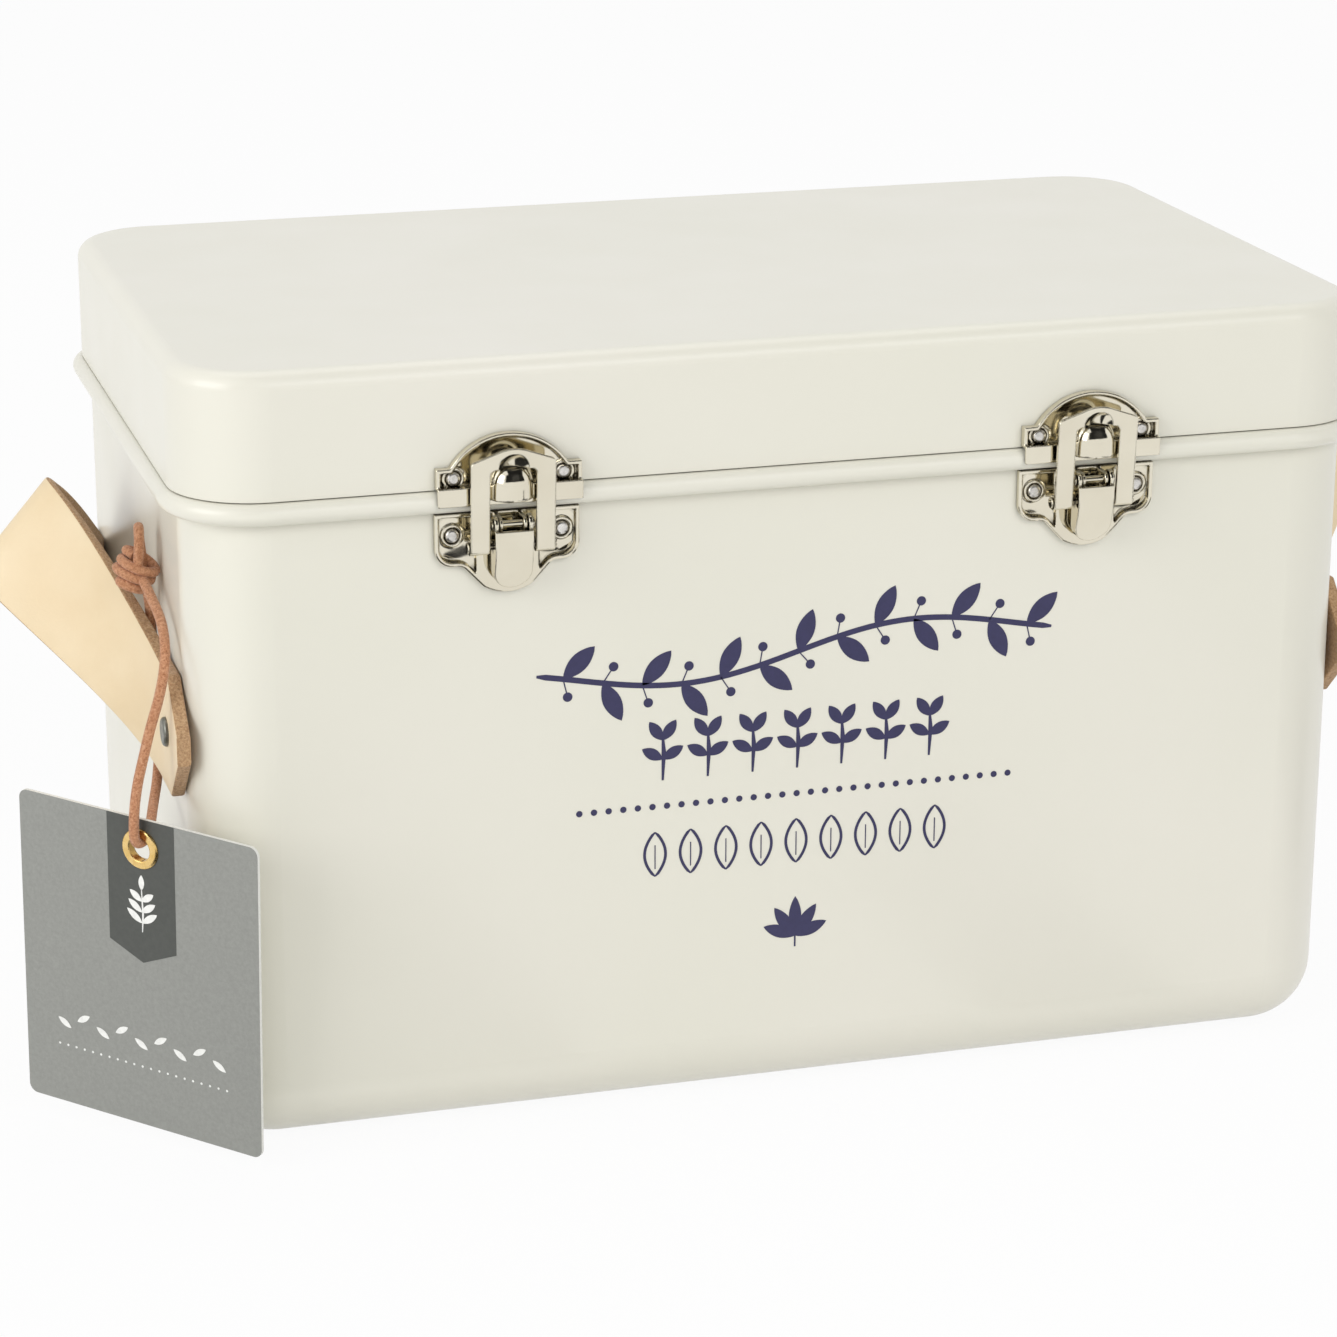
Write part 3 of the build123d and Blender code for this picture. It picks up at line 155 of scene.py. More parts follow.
# ------------------------------------------------------------------ the front's ornament, in millimetres
VINE_HEIGHT = 122.5
VINE_HALF_WIDTH = 69.0
VINE_SWAY = 4.5
VINE_RISE = 3.5
VINE_WAVES = 1.2
VINE_STEPS = 60
VINE_LEAVES = 13
VINE_LEAF_SHARE = 0.9            # of the vine's half width, to the outermost leaves
VINE_LEAF_ANGLE = 0.95
BERRY_ANGLE = 1.15
BERRY_STALK = 5.0
SEEDLINGS = 7
SEEDLING_PITCH = 12.0
SEEDLING_FOOT = 91.0
SEEDLING_HEIGHT = 15.0
DOTS = 31
DOT_PITCH = 3.87
DOT_HEIGHT = 84.0
DOT_RADIUS = 0.85
SEEDS = 9
SEED_PITCH = 9.5
SEED_FOOT = 65.0
SEED_LENGTH = 12.0
SEED_WIDTH = 5.6
SPRIG_FOOT = 44.5

# ------------------------------------------------------------------ the tag's ornament, in millimetres
BAND_HALF_WIDTH = 10.2
BAND_TOP = -0.1
BAND_FOOT = -35.0
BAND_POINT = -39.5
BAND_HOLE = 4.2                  # radius of the band's opening round the eyelet
BAND_ARC_STEPS = 12
TAG_LEAVES = 9
TAG_LEAF_PITCH = 6.0
TAG_LEAF_HEIGHT = -61.5
TAG_DOTS = 21
TAG_DOT_PITCH = 2.6
TAG_DOT_HEIGHT = -69.0

# ------------------------------------------------------------------ stage and light
FLOOR_SIZE = 4.0
FLOOR_EYE_SHARE = 0.93           # the rest of what the camera sees of the floor is shaded
WORLD_STRENGTH = 0.54
LAMP_AIM = Vector((0, 0, 0.1))
# low dark cards, just above the floor in front of the box; the levers mirror the gaps between them
LOW_FLAG_SPANS = ((-0.3, -0.05), (0.065, 0.122), (0.262, 0.45))
LOW_FLAG_NEAR = (-0.11, 0.002)
LOW_FLAG_FAR = (-0.46, 0.002)


# ================================================================== shader helpers
def linear(red, green, blue):
    """Scene-linear colour of an sRGB colour given as 0 to 255."""
    def one(value):
        value = value / 255
        return value / 12.92 if value <= 0.04045 else ((value + 0.055) / 1.055) ** 2.4
    return (one(red), one(green), one(blue), 1.0)


def new_material(name, roughness, metallic=0.0):
    """A material with its node tree and its Principled shader."""
    material = bpy.data.materials.new(name)
    material.use_nodes = True
    tree = material.node_tree
    shader = tree.nodes["Principled BSDF"]
    shader.inputs["Roughness"].default_value = roughness
    shader.inputs["Metallic"].default_value = metallic
    return material, tree, shader


def object_place(tree, stretch=(1, 1, 1)):
    """Object coordinates, stretched."""
    coordinates = tree.nodes.new("ShaderNodeTexCoord")
    mapping = tree.nodes.new("ShaderNodeMapping")
    mapping.inputs["Scale"].default_value = stretch
    tree.links.new(coordinates.outputs["Object"], mapping.inputs["Vector"])
    return mapping.outputs["Vector"]


def noise(tree, scale, detail=3.0, roughness=0.5, stretch=(1, 1, 1)):
    """Value of a noise texture; `scale` is in lumps per metre."""
    texture = tree.nodes.new("ShaderNodeTexNoise")
    texture.inputs["Scale"].default_value = scale
    texture.inputs["Detail"].default_value = detail
    texture.inputs["Roughness"].default_value = roughness
    tree.links.new(object_place(tree, stretch), texture.inputs["Vector"])
    return texture.outputs["Fac"]


def cell_edges(tree, scale):
    """Distance to the edge of a cell; `scale` is in cells per metre."""
    texture = tree.nodes.new("ShaderNodeTexVoronoi")
    texture.feature = "DISTANCE_TO_EDGE"
    texture.inputs["Scale"].default_value = scale
    tree.links.new(object_place(tree), texture.inputs["Vector"])
    return texture.outputs["Distance"]


def ramp(tree, value, stops):
    """Colour of a value by a ramp of (place, colour) stops, two or more."""
    node = tree.nodes.new("ShaderNodeValToRGB")
    elements = node.color_ramp.elements
    elements[0].position, elements[0].color = stops[0]
    elements[1].position, elements[1].color = stops[-1]
    for place, colour in stops[1:-1]:
        element = elements.new(place)
        element.color = colour
    tree.links.new(value, node.inputs["Fac"])
    return node.outputs["Color"]


def spread(tree, value, low, high, start=0.3, end=0.7):
    """The value's middle part mapped to a range."""
    node = tree.nodes.new("ShaderNodeMapRange")
    node.inputs["From Min"].default_value = start
    node.inputs["From Max"].default_value = end
    node.inputs["To Min"].default_value = low
    node.inputs["To Max"].default_value = high
    tree.links.new(value, node.inputs["Value"])
    return node.outputs["Result"]


def bump(tree, shader, height, distance, strength, under=None):
    """Relief of `distance` metres; `under` is the normal of a coarser relief below it."""
    node = tree.nodes.new("ShaderNodeBump")
    node.inputs["Strength"].default_value = strength
    node.inputs["Distance"].default_value = distance
    tree.links.new(height, node.inputs["Height"])
    if under:
        tree.links.new(under, node.inputs["Normal"])
    tree.links.new(node.outputs["Normal"], shader.inputs["Normal"])
    return node.outputs["Normal"]


def soft_edges(tree, radius):
    """Normal that rounds sharp edges by `radius`."""
    node = tree.nodes.new("ShaderNodeBevel")
    node.samples = 6
    node.inputs["Radius"].default_value = radius
    return node.outputs["Normal"]


# ================================================================== materials
def cream_paint():
    """Smooth enamel with a faint orange peel."""
    material, tree, shader = new_material("cream_paint", 0.34)
    tint = ramp(tree, noise(tree, 9, 2), [(0.3, linear(229, 227, 213)), (0.7, linear(232, 229, 217))])
    tree.links.new(tint, shader.inputs["Base Color"])
    tree.links.new(spread(tree, noise(tree, 40), 0.30, 0.38), shader.inputs["Roughness"])
    bump(tree, shader, noise(tree, 420, 2), 0.00004, 0.5)
    shader.inputs["Coat Weight"].default_value = 0.2
    shader.inputs["Coat Roughness"].default_value = 0.15
    return material


def tarnished(tree, tint, reach):
    """The tint with painted shade: darker in corners and round rivets up to `reach` from them, where shade
    falls, and standing in for dark reflections round the rivets.
    """
    corners = tree.nodes.new("ShaderNodeAmbientOcclusion")
    corners.samples = 12
    corners.inputs["Distance"].default_value = reach
    # painted shade: a dark brown wherever ambient occlusion finds a corner or a rivet close by
    painted_shade = ramp(tree, corners.outputs["AO"], [(0.3, linear(92, 84, 72)), (0.72, linear(255, 255, 255))])
    mix = tree.nodes.new("ShaderNodeMix")
    mix.data_type = "RGBA"
    mix.blend_type = "MULTIPLY"
    mix.inputs[0].default_value = 1.0
    tree.links.new(tint, mix.inputs[6])
    tree.links.new(painted_shade, mix.inputs[7])
    return mix.outputs[2]


def nickel():
    """Bright nickel plate with soft stamped edges and faint polishing marks."""
    material, tree, shader = new_material("nickel_plate", 0.1, 1.0)
    tint = ramp(tree, noise(tree, 60, 3), [(0.3, linear(220, 213, 194)), (0.7, linear(227, 221, 203))])
    # painted shade darkens the plate's tint in corners and round the rivets
    tree.links.new(tarnished(tree, tint, 0.0016), shader.inputs["Base Color"])
    tree.links.new(spread(tree, noise(tree, 250, 4), 0.05, 0.1), shader.inputs["Roughness"])
    marks = noise(tree, 160, 2, stretch=(0.3, 1, 1))
    bump(tree, shader, marks, 0.00003, 0.5, soft_edges(tree, 0.0005))
    return material


def steel():
    """Zinc plated rivets."""
    material, tree, shader = new_material("rivet_steel", 0.3, 1.0)
    tint = ramp(tree, noise(tree, 700, 3), [(0.3, linear(206, 203, 198)), (0.7, linear(236, 233, 228))])
    tree.links.new(tint, shader.inputs["Base Color"])
    tree.links.new(spread(tree, noise(tree, 900, 4), 0.2, 0.38), shader.inputs["Roughness"])
    bump(tree, shader, noise(tree, 1200, 3), 0.00003, 0.6, soft_edges(tree, 0.0002))
    return material


def dull_rivet():
    """Burnished rivets of the handles."""
    material, tree, shader = new_material("dull_rivet", 0.4, 1.0)
    tint = ramp(tree, noise(tree, 600, 4), [(0.3, linear(96, 98, 92)), (0.7, linear(138, 138, 130))])
    tree.links.new(tint, shader.inputs["Base Color"])
    tree.links.new(spread(tree, noise(tree, 900, 4), 0.28, 0.5), shader.inputs["Roughness"])
    bump(tree, shader, noise(tree, 1200, 3), 0.00003, 0.6, soft_edges(tree, 0.0003))
    return material


def brass():
    """Polished brass eyelet."""
    material, tree, shader = new_material("eyelet_brass", 0.2, 1.0)
    tint = ramp(tree, noise(tree, 500, 3), [(0.3, linear(224, 186, 112)), (0.7, linear(242, 210, 146))])
    tree.links.new(tint, shader.inputs["Base Color"])
    tree.links.new(spread(tree, noise(tree, 700, 4), 0.14, 0.28), shader.inputs["Roughness"])
    bump(tree, shader, noise(tree, 900, 2), 0.00002, 0.4, soft_edges(tree, 0.0007))
    return material


def leather(name, dark, pale, roughness, grain, relief):
    """Leather: pores, fine creases and uneven colour. `grain` is in pores per metre, `relief` in metres."""
    material, tree, shader = new_material(name, roughness)
    tint = ramp(tree, noise(tree, 55, 5, 0.6), [(0.25, dark), (0.75, pale)])
    tree.links.new(tint, shader.inputs["Base Color"])
    uneven = spread(tree, noise(tree, 220, 4), roughness - 0.06, roughness + 0.08)
    tree.links.new(uneven, shader.inputs["Roughness"])
    creases = bump(tree, shader, cell_edges(tree, grain), relief, 0.5)
    bump(tree, shader, noise(tree, grain * 2.5, 4), relief * 0.6, 0.5, creases)
    shader.inputs["Sheen Weight"].default_value = 0.15
    shader.inputs["Sheen Roughness"].default_value = 0.4
    return material


def suede(name, dark, middle, pale):
    """Raw leather: short fibres that catch the light as pale specks."""
    material, tree, shader = new_material(name, 0.92)
    fibres = noise(tree, 1500, 6, 0.75)
    tint = ramp(tree, fibres, [(0.34, dark), (0.5, middle), (0.68, pale)])
    tree.links.new(tint, shader.inputs["Base Color"])
    tree.links.new(spread(tree, noise(tree, 300, 4), 0.82, 1.0), shader.inputs["Roughness"])
    lumps = bump(tree, shader, noise(tree, 420, 4, 0.6), 0.0006, 0.6)
    bump(tree, shader, fibres, 0.0005, 0.8, lumps)
    shader.inputs["Sheen Weight"].default_value = 0.25
    shader.inputs["Sheen Roughness"].default_value = 0.4
    return material


def card_board(name, front, edge, normal):
    """Board with a printed face where it faces `normal` and raw pale board elsewhere."""
    material, tree, shader = new_material(name, 0.62)
    coordinates = tree.nodes.new("ShaderNodeTexCoord")
    facing = tree.nodes.new("ShaderNodeVectorMath")
    facing.operation = "DOT_PRODUCT"
    facing.inputs[1].default_value = normal
    tree.links.new(coordinates.outputs["Normal"], facing.inputs[0])
    printed = tree.nodes.new("ShaderNodeMath")
    printed.operation = "GREATER_THAN"
    printed.inputs[1].default_value = 0.8
    tree.links.new(facing.outputs["Value"], printed.inputs[0])
    face_tint = ramp(tree, noise(tree, 900, 4, 0.7), [(0.3, front[0]), (0.7, front[1])])
    edge_tint = ramp(tree, noise(tree, 1500, 4, 0.7), [(0.3, edge[0]), (0.7, edge[1])])
    mix = tree.nodes.new("ShaderNodeMix")
    mix.data_type = "RGBA"
    tree.links.new(printed.outputs["Value"], mix.inputs[0])
    tree.links.new(edge_tint, mix.inputs[6])
    tree.links.new(face_tint, mix.inputs[7])
    tree.links.new(mix.outputs[2], shader.inputs["Base Color"])
    bump(tree, shader, noise(tree, 2600, 5, 0.7), 0.00003, 0.6)
    return material


def ink(name, colour):
    """Screen print: even colour with the faint mottle of the ink."""
    material, tree, shader = new_material(name, 0.45)
    paler = tuple(min(1.0, channel * 1.18) for channel in colour[:3]) + (1.0,)
    tint = ramp(tree, noise(tree, 700, 4, 0.6), [(0.35, colour), (0.75, paler)])
    tree.links.new(tint, shader.inputs["Base Color"])
    bump(tree, shader, noise(tree, 1800, 3), 0.00002, 0.4)
    return material


# ================================================================== mesh helpers
def new_object(name, mesh, material, body="root"):
    """A piece that rides on a body and takes its finish from a slot. The material may come later."""
    piece = bpy.data.objects.new(name, mesh)
    bpy.context.scene.collection.objects.link(piece)
    if material:
        piece.data.materials.append(material)
    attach(piece, body)
    return piece


def prism(mesh, outline, place, thickness):
    """Adds a closed thin plate to a bmesh. `place` turns an outline point into a place in the frame."""
    low = [mesh.verts.new(place(x, y, 0.0)) for x, y in outline]
    high = [mesh.verts.new(place(x, y, thickness)) for x, y in outline]
    mesh.faces.new(high)
    mesh.faces.new(list(reversed(low)))
    count = len(outline)
    for index in range(count):
        after = (index + 1) % count
        mesh.faces.new((low[index], low[after], high[after], high[index]))


def printed(name, outlines, place, material, slot_name):
    """One thin print made of many outlines."""
    mesh = bmesh.new()
    for index, outline in enumerate(outlines):
        # shapes that cross each other lie at slightly different heights
        prism(mesh, outline, place, INK_THICKNESS + index % INK_LAYERS * INK_LAYER)
    bmesh.ops.recalc_face_normals(mesh, faces=mesh.faces)
    data = bpy.data.meshes.new(name)
    mesh.to_mesh(data)
    mesh.free()
    return new_object(name, data, material)


# ================================================================== outlines of the print, in millimetres
def circle(x, y, radius, count=20):
    """Circle as a polygon."""
    angles = [2 * math.pi * index / count for index in range(count)]
    return [(x + radius * math.cos(angle), y + radius * math.sin(angle)) for angle in angles]


def leaf(x, y, angle, length, width, count=12):
    """Pointed leaf that grows from (x, y)."""
    steps = [index / count for index in range(count + 1)]
    halves = [(length * step, width / 2 * math.sin(math.pi * step) ** 0.8) for step in steps]
    ring = halves + [(along, -across) for along, across in reversed(halves[1:-1])]
    cosine, sine = math.cos(angle), math.sin(angle)
    return [(x + a * cosine - b * sine, y + a * sine + b * cosine) for a, b in ring]


def stroke(points, width):
    """Ribbon of one width along points, tapering a little at both ends."""
    left, right = [], []
    last = len(points) - 1
    for index, (x, y) in enumerate(points):
        before = points[max(index - 1, 0)]
        after = points[min(index + 1, last)]
        run = math.hypot(after[0] - before[0], after[1] - before[1])
        across = ((before[1] - after[1]) / run, (after[0] - before[0]) / run)
        half = width / 2 * (0.45 if index in (0, last) else 1.0)
        left.append((x + across[0] * half, y + across[1] * half))
        right.append((x - across[0] * half, y - across[1] * half))
    return left + right[::-1]


def ring_outline(outline, width):
    """The two halves of a line of one width along a closed outline."""
    closed = outline + [outline[0]]
    middle = len(closed) // 2
    return [stroke(closed[:middle + 1], width), stroke(closed[middle:], width)]


def sampled(function, start, end, count):
    """Points of a curve at even steps."""
    return [function(start + (end - start) * index / count) for index in range(count + 1)]


def row(count, pitch):
    """Places of a row about its middle."""
    return [pitch * (index - (count - 1) / 2) for index in range(count)]


def vine():
    """A waving stem that rises to the right, with leaves on alternate sides and berries opposite them."""
    def stem(x):
        wave = math.sin(math.pi * VINE_WAVES * x / VINE_HALF_WIDTH)
        return (x, VINE_HEIGHT + VINE_RISE * x / VINE_HALF_WIDTH + VINE_SWAY * wave)

    shapes = [stroke(sampled(stem, -VINE_HALF_WIDTH, VINE_HALF_WIDTH, VINE_STEPS), 1.5)]
    leaf_pitch = 2 * VINE_LEAF_SHARE * VINE_HALF_WIDTH / (VINE_LEAVES - 1)
    for index, x in enumerate(row(VINE_LEAVES, leaf_pitch)):
        here = stem(x)
        ahead = stem(x + 0.5)
        along = math.atan2(ahead[1] - here[1], ahead[0] - here[0])
        side = 1 if index % 2 == 0 else -1
        shapes.append(leaf(here[0], here[1], along + side * VINE_LEAF_ANGLE, 11.5, 4.8))
        stalk = along - side * BERRY_ANGLE
        berry = (here[0] + BERRY_STALK * math.cos(stalk), here[1] + BERRY_STALK * math.sin(stalk))
        shapes.append(stroke([here, berry], 0.7))
        shapes.append(circle(berry[0], berry[1], 1.25))
    return shapes


def seedling(x, y, height):
    """A stem with two pairs of leaves."""
    shapes = [stroke([(x, y), (x + 0.3, y + height * 0.5), (x, y + height * 0.8)], 1.2)]
    for side in (-1, 1):
        for share, angle in ((0.38, 1.05), (0.72, 0.6)):
            foot = y + height * share
            shapes.append(leaf(x, foot, math.pi / 2 - side * angle, height * 0.42, height * 0.2))
    return shapes


def front_outlines():
    """The whole ornament on the front wall: a vine, seedlings, dots, seeds and a sprig, from the top."""
    shapes = vine()
    for x in row(SEEDLINGS, SEEDLING_PITCH):
        shapes += seedling(x, SEEDLING_FOOT, SEEDLING_HEIGHT)
    shapes += [circle(x, DOT_HEIGHT, DOT_RADIUS, 16) for x in row(DOTS, DOT_PITCH)]
    for x in row(SEEDS, SEED_PITCH):
        shapes += ring_outline(leaf(x, SEED_FOOT, math.pi / 2, SEED_LENGTH, SEED_WIDTH, 16), 0.75)
        shapes.append(stroke([(x, SEED_FOOT + 2.0), (x, SEED_FOOT + 8.5)], 0.6))
    for turn in (-1.2, -0.6, 0.0, 0.6, 1.2):
        shapes.append(leaf(0.0, SPRIG_FOOT, math.pi / 2 + turn, 11.0 - 1.5 * abs(turn), 3.4))
    shapes.append(stroke([(0.0, SPRIG_FOOT - 3.0), (0.0, SPRIG_FOOT + 1.5)], 1.0))
    return shapes


def on_front(x, y, out):
    """Place on the front wall, x from its middle and y above the box's foot, in millimetres."""
    return Vector((x * MM, BOX_FRONT - out - FRONT_INK_GAP, y * MM))


# ================================================================== leather handles
def bow_place(depth):
    """Middle of the strap and direction across its width, at a distance from the bow's middle."""
    far = math.hypot(BOW_SPAN / 2, BOW_CREST) - BOW_CREST
    reach = max(0.0, 1 - (math.hypot(depth, BOW_CREST) - BOW_CREST) / far)
    out = BOX_SIDE + STRAP_GAP + STRAP_THICKNESS / 2 + BOW_OUT * reach ** BOW_OUT_POWER
    lean = BOW_LEAN * reach ** BOW_LEAN_POWER
    middle = Vector((out, depth, HANDLE_HEIGHT + BOW_RISE * reach ** BOW_RISE_POWER))
    return middle, Vector((math.sin(lean), 0, -math.cos(lean)))


def strap_axes(depth):
    """Middle of the strap, and the directions across its width and out through its thickness."""
    middle, across = bow_place(depth)
    along = Vector((0, 1, 0))
    if abs(depth) < BOW_SPAN / 2:
        along = bow_place(depth + SLOPE_STEP)[0] - bow_place(depth - SLOPE_STEP)[0]
    through = along.cross(across).normalized()
    if through.x < 0:
        through = -through
    return middle, across, through


def strap_half_width(depth):
    """Half the strap's width, which the clipped corners narrow towards each tip."""
    tip = BOW_SPAN / 2 + STRAP_END
    return min(STRAP_WIDTH / 2, STRAP_WIDTH / 2 - STRAP_END_CUT + tip - abs(depth))


def strap_section(depth):
    """Points round one section: the lower edge, the inner face, the upper edge and the outer face."""
    middle, across, through = strap_axes(depth)
    half_width = strap_half_width(depth) - STRAP_EDGE_ROUND
    half_thick = STRAP_THICKNESS / 2 - STRAP_EDGE_ROUND
    points = []
    for turn, sign_across, sign_through in ((0, 1, 1), (1, 1, -1), (2, -1, -1), (3, -1, 1)):
        start_angle = math.pi / 2 - turn * math.pi / 2
        for index in range(STRAP_EDGE_STEPS + 1):
            angle = start_angle - index / STRAP_EDGE_STEPS * math.pi / 2
            a = sign_across * half_width + STRAP_EDGE_ROUND * math.cos(angle)
            t = sign_through * half_thick + STRAP_EDGE_ROUND * math.sin(angle)
            points.append((a, t))
        if turn in (1, 3):
            # the broad faces need columns between their edges
            for column in range(1, STRAP_COLUMNS):
                a = sign_across * half_width * (1 - 2 * column / STRAP_COLUMNS)
                points.append((a, sign_through * STRAP_THICKNESS / 2))
    return [middle + across * a + through * t for a, t in points]


def strap_depths():
    """Where the strap's sections lie, from one tip to the other."""
    tip = BOW_SPAN / 2 + STRAP_END
    corner = tip - STRAP_END_CUT
    flat = corner - BOW_SPAN / 2
    depths = [-tip, -tip + STRAP_TIP_STEP]
    depths += [-tip + STRAP_END_CUT * index / STRAP_END_RINGS for index in range(1, STRAP_END_RINGS)]
    depths += [-corner + flat * index / STRAP_END_RINGS for index in range(STRAP_END_RINGS)]
    depths += [-BOW_SPAN / 2 * (1 - index / BOW_RINGS) ** BOW_RING_POWER for index in range(BOW_RINGS)]
    return depths + [0.0] + [-depth for depth in reversed(depths)]


def make_strap(side, name, node_name, materials):
    """One strap as a closed mesh with a smooth face, a rough back and cut edges."""
    mesh = bmesh.new()
    rings = []
    for depth in strap_depths():
        rings.append([mesh.verts.new((side * p.x, p.y, p.z)) for p in strap_section(depth)])
    count = len(rings[0])
    for ring, after in zip(rings, rings[1:]):
        for index in range(count):
            following = (index + 1) % count
            face = mesh.faces.new((ring[index], ring[following], after[following], after[index]))
            face.smooth = True
    for ring in (rings[0], rings[-1]):
        mesh.faces.new(ring)
    bmesh.ops.recalc_face_normals(mesh, faces=mesh.faces)
    data = bpy.data.meshes.new(name)
    mesh.to_mesh(data)
    mesh.free()
    strap = new_object(name, data, None)
    for material in materials:
        strap.data.materials.append(material)
    paint_strap_faces(strap, side)
    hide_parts(node_name)


def paint_strap_faces(strap, side):
    """Smooth grain outside, flesh side inside, raw cut edges between."""
    for face in strap.data.polygons:
        through = strap_axes(face.center.y)[2]
        normal = Vector((side * face.normal.x, face.normal.y, face.normal.z))
        facing = normal.dot(through)
        face.material_index = 0 if facing > FACE_SHARE else 1 if facing < -FACE_SHARE else 2


# ================================================================== lace, knot and tag
def lace_piece(name, points, material):
    """A round lace along a NURBS spline, its control points in millimetres."""
    data = bpy.data.curves.new(name, "CURVE")
    data.dimensions = "3D"
    data.bevel_depth = LACE_RADIUS
    data.bevel_resolution = 5
    data.resolution_u = 10
    data.use_fill_caps = True
    spline = data.splines.new("NURBS")
    spline.points.add(len(points) - 1)
    for point, place in zip(spline.points, points):
        point.co = (place[0] * MM, place[1] * MM, place[2] * MM, 1.0)
    spline.order_u = 3
    spline.use_endpoint_u = True
    return new_object(name, data, material)


def knot_points():
    """Leaning turns of the lace round its own strands."""
    axis = Vector((math.sin(KNOT_LEAN), -0.25 * math.sin(KNOT_LEAN), math.cos(KNOT_LEAN))).normalized()
    depth = Vector((0.28, 0.96, 0.0)).normalized()
    aside = depth.cross(axis).normalized()
    points = []
    steps = KNOT_TURNS * KNOT_STEPS
    for index in range(steps + 1):
        turn = index / KNOT_STEPS
        angle = KNOT_START + 2 * math.pi * turn
        pull = KNOT_END_PULL if index in (0, steps) else 1.0
        round_axis = aside * KNOT_REACH * pull * math.cos(angle) + depth * KNOT_DEPTH * pull * math.sin(angle)
        points.append(KNOT_MIDDLE + round_axis + axis * KNOT_PITCH * (turn - KNOT_TURNS / 2))
    return points


def bight_points():
    """The small loop that stands up out of the knot."""
    return [
        KNOT_MIDDLE + Vector((BIGHT_DRIFT * index, across, up))
        for index, (across, up) in enumerate(BIGHT_SHAPE)
    ]


def tag_axes():
    """Directions to the right on the tag's face, up it, and out of it."""
    right = Vector((
        math.cos(TAG_TURN) * math.cos(TAG_ROLL),
        -math.sin(TAG_TURN) * math.cos(TAG_ROLL),
        -math.sin(TAG_ROLL),
    ))
    normal = Vector((
        -math.sin(TAG_TURN) * math.cos(TAG_TILT),
        -math.cos(TAG_TURN) * math.cos(TAG_TILT),
        -math.sin(TAG_TILT),
    ))
    right = (right - normal * right.dot(normal)).normalized()
    return right, normal.cross(right), normal


def on_tag(x, y, out):
    """Place on the tag's face, x to the right of its middle and y above its top edge, in millimetres."""
    right, up, normal = tag_axes()
    return TAG_TOP_MIDDLE + right * x * MM + up * y * MM + normal * (TAG_THICKNESS / 2 + out + TAG_INK_GAP)


def pennant_outlines():
    """The two halves of the dark band, which leave the eyelet's hole open."""
    halves = []
    for side in (-1, 1):
        arc = []
        for index in range(BAND_ARC_STEPS + 1):
            angle = math.pi / 2 - side * math.pi * index / BAND_ARC_STEPS
            arc.append((EYELET_X + BAND_HOLE * math.cos(angle), EYELET_Y + BAND_HOLE * math.sin(angle)))
        outside = EYELET_X + side * BAND_HALF_WIDTH
        edge = [(EYELET_X, BAND_POINT), (outside, BAND_FOOT), (outside, BAND_TOP), (EYELET_X, BAND_TOP)]
        halves.append(arc + edge)
    return halves


def tag_sprig():
    """A small sprig on the dark band, with three pairs of leaves and one at its tip."""
    shapes = [stroke([(EYELET_X, -31.0), (EYELET_X + 0.3, -26.0), (EYELET_X, -19.0)], 0.55)]
    for index, height in enumerate((-28.5, -25.5, -22.5)):
        for side in (-1, 1):
            shapes.append(leaf(EYELET_X, height, math.pi / 2 - side * 0.95, 5.6 - 0.6 * index, 1.9))
    shapes.append(leaf(EYELET_X, -19.5, math.pi / 2, 4.2, 1.7))
    return shapes


def tag_foot():
    """A row of small leaves and a dotted line where a tag has its name."""
    shapes = []
    for index, x in enumerate(row(TAG_LEAVES, TAG_LEAF_PITCH)):
        shapes.append(leaf(x - 2.2, TAG_LEAF_HEIGHT, 0.55 if index % 2 else -0.55, 4.6, 1.7))
    shapes += [circle(x, TAG_DOT_HEIGHT, 0.33, 10) for x in row(TAG_DOTS, TAG_DOT_PITCH)]
    return shapes


# ================================================================== month numbers
def evaluated_mesh(piece):
    """The mesh that an object has after its modifiers, or a text's letters as a mesh."""
    bpy.context.view_layer.update()
    return bpy.data.meshes.new_from_object(piece.evaluated_get(bpy.context.evaluated_depsgraph_get()))


def make_numbers(material):
    """A plain number on the tab of each month card."""
    down = Vector((0, -math.sin(CARD_LEAN), -math.cos(CARD_LEAN)))
    out = Vector((0, -math.cos(CARD_LEAN), math.sin(CARD_LEAN)))
    turn = Matrix.Rotation(math.pi / 2 - CARD_LEAN, 4, "X")
    for number in range(1, CARD_COUNT + 1):
        corners = [vertex.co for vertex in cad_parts[f"month_card_{number:02d}"].data.vertices]
        top = max(corner.z for corner in corners)
        tab = [corner for corner in corners if corner.z > top - TAB_REACH]
        middle = (min(corner.x for corner in tab) + max(corner.x for corner in tab)) / 2
        face = min(corner.y for corner in tab if corner.z > top - TAB_EDGE)
        text = bpy.data.curves.new(f"number_{number:02d}_text", "FONT")
        text.body = str(number)
        text.size = NUMBER_SIZE
        text.align_x = "CENTER"
        text.extrude = INK_THICKNESS / 2
        carrier = bpy.data.objects.new("number_carrier", text)
        bpy.context.scene.collection.objects.link(carrier)
        mesh = evaluated_mesh(carrier)
        bpy.data.objects.remove(carrier)
        place = Vector((middle, face, top)) + down * NUMBER_DROP + out * NUMBER_LIFT
        mesh.transform(Matrix.Translation(place) @ turn)
        new_object(f"number_{number:02d}", mesh, material)


# ================================================================== dress the CAD nodes
def dress(material, *names):
    """Gives CAD nodes their material, with smooth faces and sharp edges."""
    for name in names:
        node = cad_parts[name]
        node.data.materials.clear()
        node.data.materials.append(material)
        for face in node.data.polygons:
            face.use_smooth = True
        node.data.set_sharp_from_angle(angle=math.radians(32))


